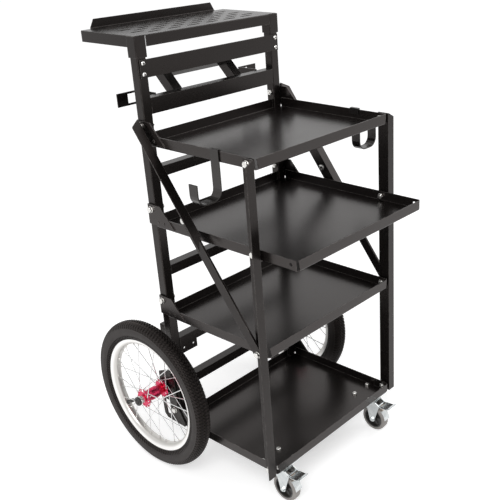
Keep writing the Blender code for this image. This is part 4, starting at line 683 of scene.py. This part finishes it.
def boltPlaces(number, kind):
    # inner face, outer face, and the collars that fill the gaps between the plates
    gap = boltSizes["gap"]
    collar = boltSizes["collar"]
    if kind == "front":
        spacer = (faces["trayOuter"] + gap, faces["postInner"] - gap, collar)
        if number != 3:
            return faces["lipInner"], faces["postOuter"], [spacer]
        outerSpacer = (faces["postOuter"] + gap, faces["barInner"] - gap, collar)
        return faces["lipInner"], faces["barOuter"], [spacer, outerSpacer]
    if number == 1:
        start = faces["plateOuter"] + gap
        middle = start + boltSizes["spacerLength"]
        collars = [(start, middle, boltSizes["spacerRadius"]), (middle, faces["stayInner"] - gap, collar)]
        return faces["uprightInner"], faces["webOuter"], collars
    return faces["uprightInner"], faces["axlePlateOuter" if number == 4 else "plateOuter"], []


for sideName, side in sides:
    for number in (1, 2, 3, 4):
        for kind, body in (("front", "post_" + sideName), ("pivot", "rear_frame")):
            node = kind + "_bolt_" + str(number) + "_" + sideName
            inner, outer, collars = boltPlaces(number, kind)
            shape = makeBolt(inner, outer, collars, middleOf(node), side)
            addPiece(kind + "Bolt" + str(number) + "_" + sideName, shape, body, brightZinc, [node])

screwSizes = {"radius": 0.0051, "height": 0.0029, "socket": 0.0042, "depth": 0.0016, "root": 0.0012,
              "sink": 0.003, "inset": 0.0125, "edge": 0.0078, "steps": 48}


def makeScrew(place):
    # domed head with a hexagon socket, facing -Y
    s = screwSizes
    r = s["radius"]
    top = s["height"]
    point = s["socket"] / math.sqrt(3)
    rows = [(-s["root"], centreRadius, 0), (-s["root"], r, 0), (top * 0.25, r, 0), (top * 0.6, r * 0.88, 0),
            (top * 0.9, r * 0.66, 0), (top, r * 0.52, 0), (top, point, s["socket"]),
            (top - s["depth"], point, s["socket"]), (top - s["depth"], centreRadius, 0)]
    along, first, second = np.moveaxis(hexTurned(rows, s["steps"], (0, 0, 0)), -1, 0)
    return surface(np.stack([first, -along, second], -1) + np.array(place))


low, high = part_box("slat_1")
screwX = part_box("upright_right")[1].x - screwSizes["inset"]
screws = [makeScrew((x, high.y - screwSizes["sink"], z)) for x in (-screwX, screwX)
          for z in (low.z + screwSizes["edge"], high.z - screwSizes["edge"])]
addPiece("panelScrews", together(screws), "rear_frame", brightZinc)

elbowSizes = {
    "y": -0.02675, "z": 0.71191, "headBase": 0.2361, "headTop": 0.2326, "headRadius": 0.0083, "headSteps": 48,
    "nutStart": 0.2437, "nutEnd": 0.2501, "nutAcross": 0.0134, "hole": 0.0038, "tip": 0.0012, "steps": 72,
}
axleSizes = {
    "nutAcross": 0.0194, "nutStart": 0.3022, "nutEnd": 0.3083, "collarRadius": 0.0107, "collarEnd": 0.3140,
    "capStart": 0.3142, "capEnd": 0.3202, "capRadius": 0.0120, "capHole": 0.0050, "steps": 72, "capSteps": 64,
}
cornerUp = math.pi / 6  # turns a hexagon so that a corner is where the frame's own nuts have one


def makeElbowHead(side):
    # low domed head with a shallow recess, turned about the elbow's axis
    s = elbowSizes
    base = s["headBase"]
    top = s["headTop"]
    r = s["headRadius"]
    rows = [(base, centreRadius), (base, r), (top + 0.0014, r), (top + 0.0004, r - 0.0005), (top, r - 0.0017),
            (top, 0.0030), (top + 0.0006, 0.0027), (top + 0.0006, centreRadius)]
    return surface(turnedAbout(rows, s["headSteps"], (0, s["y"], s["z"]), side))


def makeElbowNut(side):
    # hexagon with the bolt's end standing a little out of it
    s = elbowSizes
    start = s["nutStart"]
    end = s["nutEnd"]
    rows = [(start, centreRadius, 0)] + hexRows(start, end, s["nutAcross"])
    rows += [(end, s["hole"], 0), (end + s["tip"], s["hole"] * 0.9, 0), (end + s["tip"], centreRadius, 0)]
    return surface(hexTurned(rows, s["steps"], (0, s["y"], s["z"]), side, cornerUp))


def makeAxleNut(side, centre):
    # hexagon with a round collar outside it
    s = axleSizes
    nutEnd = s["nutEnd"]
    end = s["collarEnd"]
    r = s["collarRadius"]
    rows = [(s["nutStart"], centreRadius, 0)] + hexRows(s["nutStart"], nutEnd, s["nutAcross"])
    rows += [(nutEnd, r - 0.0016, 0), (nutEnd + 0.0010, r - 0.0016, 0), (nutEnd + 0.0014, r, 0),
             (end - 0.0004, r, 0), (end, r - 0.0004, 0), (end, centreRadius, 0)]
    return surface(hexTurned(rows, s["steps"], (0, centre[1], centre[2]), side, cornerUp))


def makeAxleCap(side, centre):
    # dished cap with a rounded edge, turned about the axle
    s = axleSizes
    start = s["capStart"]
    end = s["capEnd"]
    r = s["capRadius"]
    rows = [(start, centreRadius), (start, r - 0.0008), (start + 0.0006, r - 0.0002), (end - 0.0022, r),
            (end - 0.0006, r - 0.0007), (end, r - 0.0024), (end, s["capHole"]),
            (end - 0.0006, s["capHole"] - 0.0004), (end - 0.0006, centreRadius)]
    return surface(turnedAbout(rows, s["capSteps"], (0, centre[1], centre[2]), side))


for sideName, side in sides:
    centre = wheelCentres[sideName]
    addPiece("elbowHead_" + sideName, makeElbowHead(side), "stay_upper_" + sideName, brightZinc)
    addPiece("elbowNut_" + sideName, makeElbowNut(side), "stay_lower_" + sideName, brightZinc)
    addPiece("axleNut_" + sideName, makeAxleNut(side, centre), "rear_frame", brightZinc)
    addPiece("axleCap_" + sideName, makeAxleCap(side, centre), "rear_frame", capBlack)
print("bolts, nuts and screws made")


# Caster wheels

casterSizes = {
    "radius": 0.0375, "half": 0.0120, "tread": 0.0095, "treadSteps": 120, "overlap": 0.0003,
    "web": 0.0030, "bore": 0.0039, "ribs": 6, "ribStart": 0.72, "ribFade": 0.12, "ribHeight": 0.0035,
    "coreSteps": 144,
}


def makeTread(centre):
    # crown that falls away to rounded edges, turned about the axle
    top = casterSizes["radius"]
    half = casterSizes["half"]
    low = top - casterSizes["tread"] + casterSizes["overlap"]
    profile = mirrored([(0, top), (half * 0.35, top - 0.0001), (half * 0.62, top - 0.0006),
                        (half * 0.84, top - 0.0022), (half * 0.97, top - 0.0046), (half, top - 0.0062),
                        (half, low + 0.0008), (half - 0.0006, low)])
    return surface(turnedAbout(profile, casterSizes["treadSteps"], centre), closeRows=True)


def makeCore(centre):
    # hub, thin web with pressed ribs, and the rim under the tread; rows are (place, radius, rib or not)
    s = casterSizes
    half = s["half"]
    rim = s["radius"] - s["tread"]
    web = s["web"]
    t = fullTurn(s["coreSteps"])
    rib = np.clip((0.5 + 0.5 * np.cos(s["ribs"] * t) - s["ribStart"]) / s["ribFade"], 0, 1) * s["ribHeight"]
    front = [(half - 0.0002, s["bore"], 0), (half - 0.0002, 0.0078, 0), (half - 0.0008, 0.0086, 0),
             (web, 0.0098, 1), (web, 0.0150, 1), (web, 0.0200, 1), (web, rim - 0.0040, 1),
             (half - 0.0010, rim - 0.0028, 0), (half - 0.0006, rim - 0.0022, 0), (half - 0.0006, rim, 0)]
    x, r, ribbed = np.array(front + [(-x, r, -ribbed) for x, r, ribbed in front[::-1]]).T[:, :, None]
    points = np.stack([x + ribbed * rib, r * np.cos(t), r * np.sin(t)], -1)
    return surface(points + centre, closeRows=True)


shoeSizes = {"halfWidth": 0.0085, "halfLength": 0.0068, "halfHeight": 0.0042, "y": -0.2628, "z": 0.0777,
             "roundness": 0.4, "steps": 40}


def makeShoe(x):
    # block with rounded corners: its section is a superellipse, drawn in to a point at both ends
    s = shoeSizes
    half = s["halfWidth"]
    t = fullTurn(s["steps"])
    y = s["halfLength"] * np.sign(np.cos(t)) * np.abs(np.cos(t)) ** s["roundness"]
    z = s["halfHeight"] * np.sign(np.sin(t)) * np.abs(np.sin(t)) ** s["roundness"]
    rows = ((-half, 0.0), (-half, 0.86), (-half * 0.9, 1.0), (half * 0.9, 1.0), (half, 0.86), (half, 0.0))
    points = np.stack([np.stack([place + 0 * t, y * share, z * share], -1) for place, share in rows])
    return surface(points + np.array([x, s["y"], s["z"]]))


guardSizes = {"inner": 0.0394, "outer": 0.0408, "halfWidth": 0.0112, "from": 8.0, "to": 50.0, "steps": 24,
              "sideEdge": 0.0006, "faceEdge": 0.0003}


def makeGuard(centre):
    # thin bent plate round the front of the tread: its flat section is carried along an arc about the axle
    s = guardSizes
    middle = (s["inner"] + s["outer"]) / 2
    deep = s["outer"] - middle
    wide = s["halfWidth"]
    thin = deep - s["faceEdge"]
    short = wide - s["sideEdge"]
    x = np.array([-wide, -short, short, wide, wide, short, -short, -wide])
    r = np.array([-thin, -deep, -deep, -thin, thin, deep, deep, thin])
    a = np.radians(np.linspace(s["from"], s["to"], s["steps"]))
    a = np.concatenate([a[:1], a, a[-1:]])[:, None]
    share = np.ones(a.shape)
    share[[0, -1]] = 0  # the ends close to a point
    x = centre[0] + share * x
    r = middle + share * r
    return surface(np.stack([x, centre[1] - r * np.cos(a), centre[2] + r * np.sin(a)], -1))


floorNutSizes = {"across": 0.0108, "height": 0.0044, "steps": 48, "spreadX": 0.0285, "spreadY": 0.0250,
                 "drop": 0.0068}


def makeFloorNut(place):
    # hexagon with a round collar on top and the bolt's end standing in it, facing up
    wide = floorNutSizes["across"]
    top = floorNutSizes["height"]
    rows = [(0.0, centreRadius, 0), (0.0, 0.0064, wide), (top, 0.0064, wide), (0.0053, 0.0055, 0),
            (0.0060, 0.0050, 0), (0.0064, 0.0044, 0), (0.0064, 0.0034, 0), (0.0076, 0.0032, 0),
            (0.0079, centreRadius, 0)]
    along, first, second = np.moveaxis(hexTurned(rows, floorNutSizes["steps"], (0, 0, 0)), -1, 0)
    return surface(np.stack([first, second, along], -1) + np.array(place))


for sideName, side in sides:
    body = "caster_wheel_" + sideName
    centre = middleOf("caster_tread_" + sideName)
    plate = middleOf("caster_plate_" + sideName)
    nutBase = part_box("caster_plate_" + sideName)[1].z - floorNutSizes["drop"]
    nuts = [makeFloorNut((plate[0] + dx, plate[1] + dy, nutBase))
            for dx in (-floorNutSizes["spreadX"], floorNutSizes["spreadX"])
            for dy in (-floorNutSizes["spreadY"], floorNutSizes["spreadY"])]
    shoe = makeShoe(middleOf("caster_pedal_" + sideName)[0])
    addPiece("floorNuts_" + sideName, together(nuts), "bottom_shelf", brightZinc)
    addPiece("brakeGuard_" + sideName, makeGuard(centre), "caster_" + sideName, sheetZinc, (), 35)
    addPiece("brakeShoe_" + sideName, shoe, "pedal_" + sideName, padTan, (), 35)
    addPiece("casterTread_" + sideName, makeTread(centre), body, treadRubber,
             ["caster_tread_" + sideName], 40)
    addPiece("casterCore_" + sideName, makeCore(centre), body, corePlastic,
             ["caster_core_" + sideName], 35)
print("caster wheels made")


# Floor, light and camera

stageLook = {
    "floorSize": 14.0, "floorColour": 0.80, "floorGlow": 0.52, "floorRoughness": 0.9, "floorShine": 0.2,
    "worldStrength": 0.62, "keyPower": 62.0, "keySize": 2.0, "keyPlace": (-2.2, -1.6, 3.0),
    "fillPower": 16.0, "fillSize": 2.0, "fillPlace": (2.6, -1.0, 2.2), "lampTarget": (0, 0, 0.55),
}


def seenByViewOrGloss(tree):
    # 1 for rays of the camera, of mirrors and through glass, else 0
    rays = tree.nodes.new("ShaderNodeLightPath").outputs
    either = mathNode(tree, "MAXIMUM", rays["Is Camera Ray"], rays["Is Glossy Ray"])
    return mathNode(tree, "MAXIMUM", either, rays["Is Transmission Ray"])


def makeFloor():
    # flat square at height 0, which takes shadows and glows only for the rays above
    size = stageLook["floorSize"]
    line = np.linspace(-size, size, 9)
    x, y = np.meshgrid(line, line, indexing="ij")
    points, quads = surface(np.stack([x, y, 0 * x], -1), closeCols=False)
    mesh = bpy.data.meshes.new("floor")
    mesh.from_pydata(points.tolist(), [], quads.tolist())
    floor = bpy.data.objects.new("floor", mesh)
    bpy.context.scene.collection.objects.link(floor)
    material = bpy.data.materials.new("floorPaper")
    material.use_nodes = True
    tree = material.node_tree
    shader = tree.nodes["Principled BSDF"]
    tone = stageLook["floorColour"]
    shader.inputs["Base Color"].default_value = (tone, tone, tone, 1)
    shader.inputs["Roughness"].default_value = stageLook["floorRoughness"]
    shader.inputs["Specular IOR Level"].default_value = stageLook["floorShine"]
    shader.inputs["Emission Color"].default_value = (1, 1, 1, 1)
    glow = mathNode(tree, "MULTIPLY", seenByViewOrGloss(tree), stageLook["floorGlow"])
    tree.links.new(glow, shader.inputs["Emission Strength"])
    mesh.materials.append(material)


def makeWorld():
    # white at full strength for the rays above, and at its own strength for all others
    world = bpy.data.worlds.new("studio")
    bpy.context.scene.world = world
    world.use_nodes = True
    tree = world.node_tree
    light = tree.nodes["Background"]
    light.inputs["Color"].default_value = (1, 1, 1, 1)
    low = stageLook["worldStrength"]
    strength = mathNode(tree, "MULTIPLY_ADD", seenByViewOrGloss(tree), 1 - low, low)
    tree.links.new(strength, light.inputs["Strength"])


def makeLamp(name, place, power, size):
    # round area lamp whose -Z axis points from its place to the target
    lamp = bpy.data.lights.new(name, "AREA")
    lamp.energy = power
    lamp.shape = "DISK"
    lamp.size = size
    holder = bpy.data.objects.new(name, lamp)
    bpy.context.scene.collection.objects.link(holder)
    aim = Vector(stageLook["lampTarget"]) - Vector(place)
    holder.matrix_world = Matrix.Translation(place) @ aim.to_track_quat("-Z", "Y").to_matrix().to_4x4()


cameraLook = {"place": (-1.3238, -1.3659, 1.3480), "right": (0.6309, -0.7753, -0.0298),
              "back": (-0.7061, -0.5896, 0.3923), "focalShare": 803.62 / 500, "sensor": 36.0, "shift": -0.17}


def makeCamera():
    # the photograph's view: up is back cross right, and the focal length is a share of the picture's width
    back = Vector(cameraLook["back"]).normalized()
    up = back.cross(Vector(cameraLook["right"]).normalized()).normalized()
    right = up.cross(back)
    lens = bpy.data.cameras.new("photoCamera")
    lens.sensor_width = cameraLook["sensor"]
    lens.lens = cameraLook["focalShare"] * cameraLook["sensor"]
    lens.shift_x = cameraLook["shift"]
    camera = bpy.data.objects.new("photoCamera", lens)
    bpy.context.scene.collection.objects.link(camera)
    rows = [(right[k], up[k], back[k], cameraLook["place"][k]) for k in range(3)] + [(0, 0, 0, 1)]
    camera.matrix_world = Matrix(rows)
    bpy.context.scene.camera = camera


makeFloor()
makeWorld()
for lampName in ("key", "fill"):
    makeLamp(lampName + "Lamp", *(stageLook[lampName + part] for part in ("Place", "Power", "Size")))
makeCamera()
bpy.context.scene.view_settings.view_transform = "Standard"
print("stage, lamps and camera made")
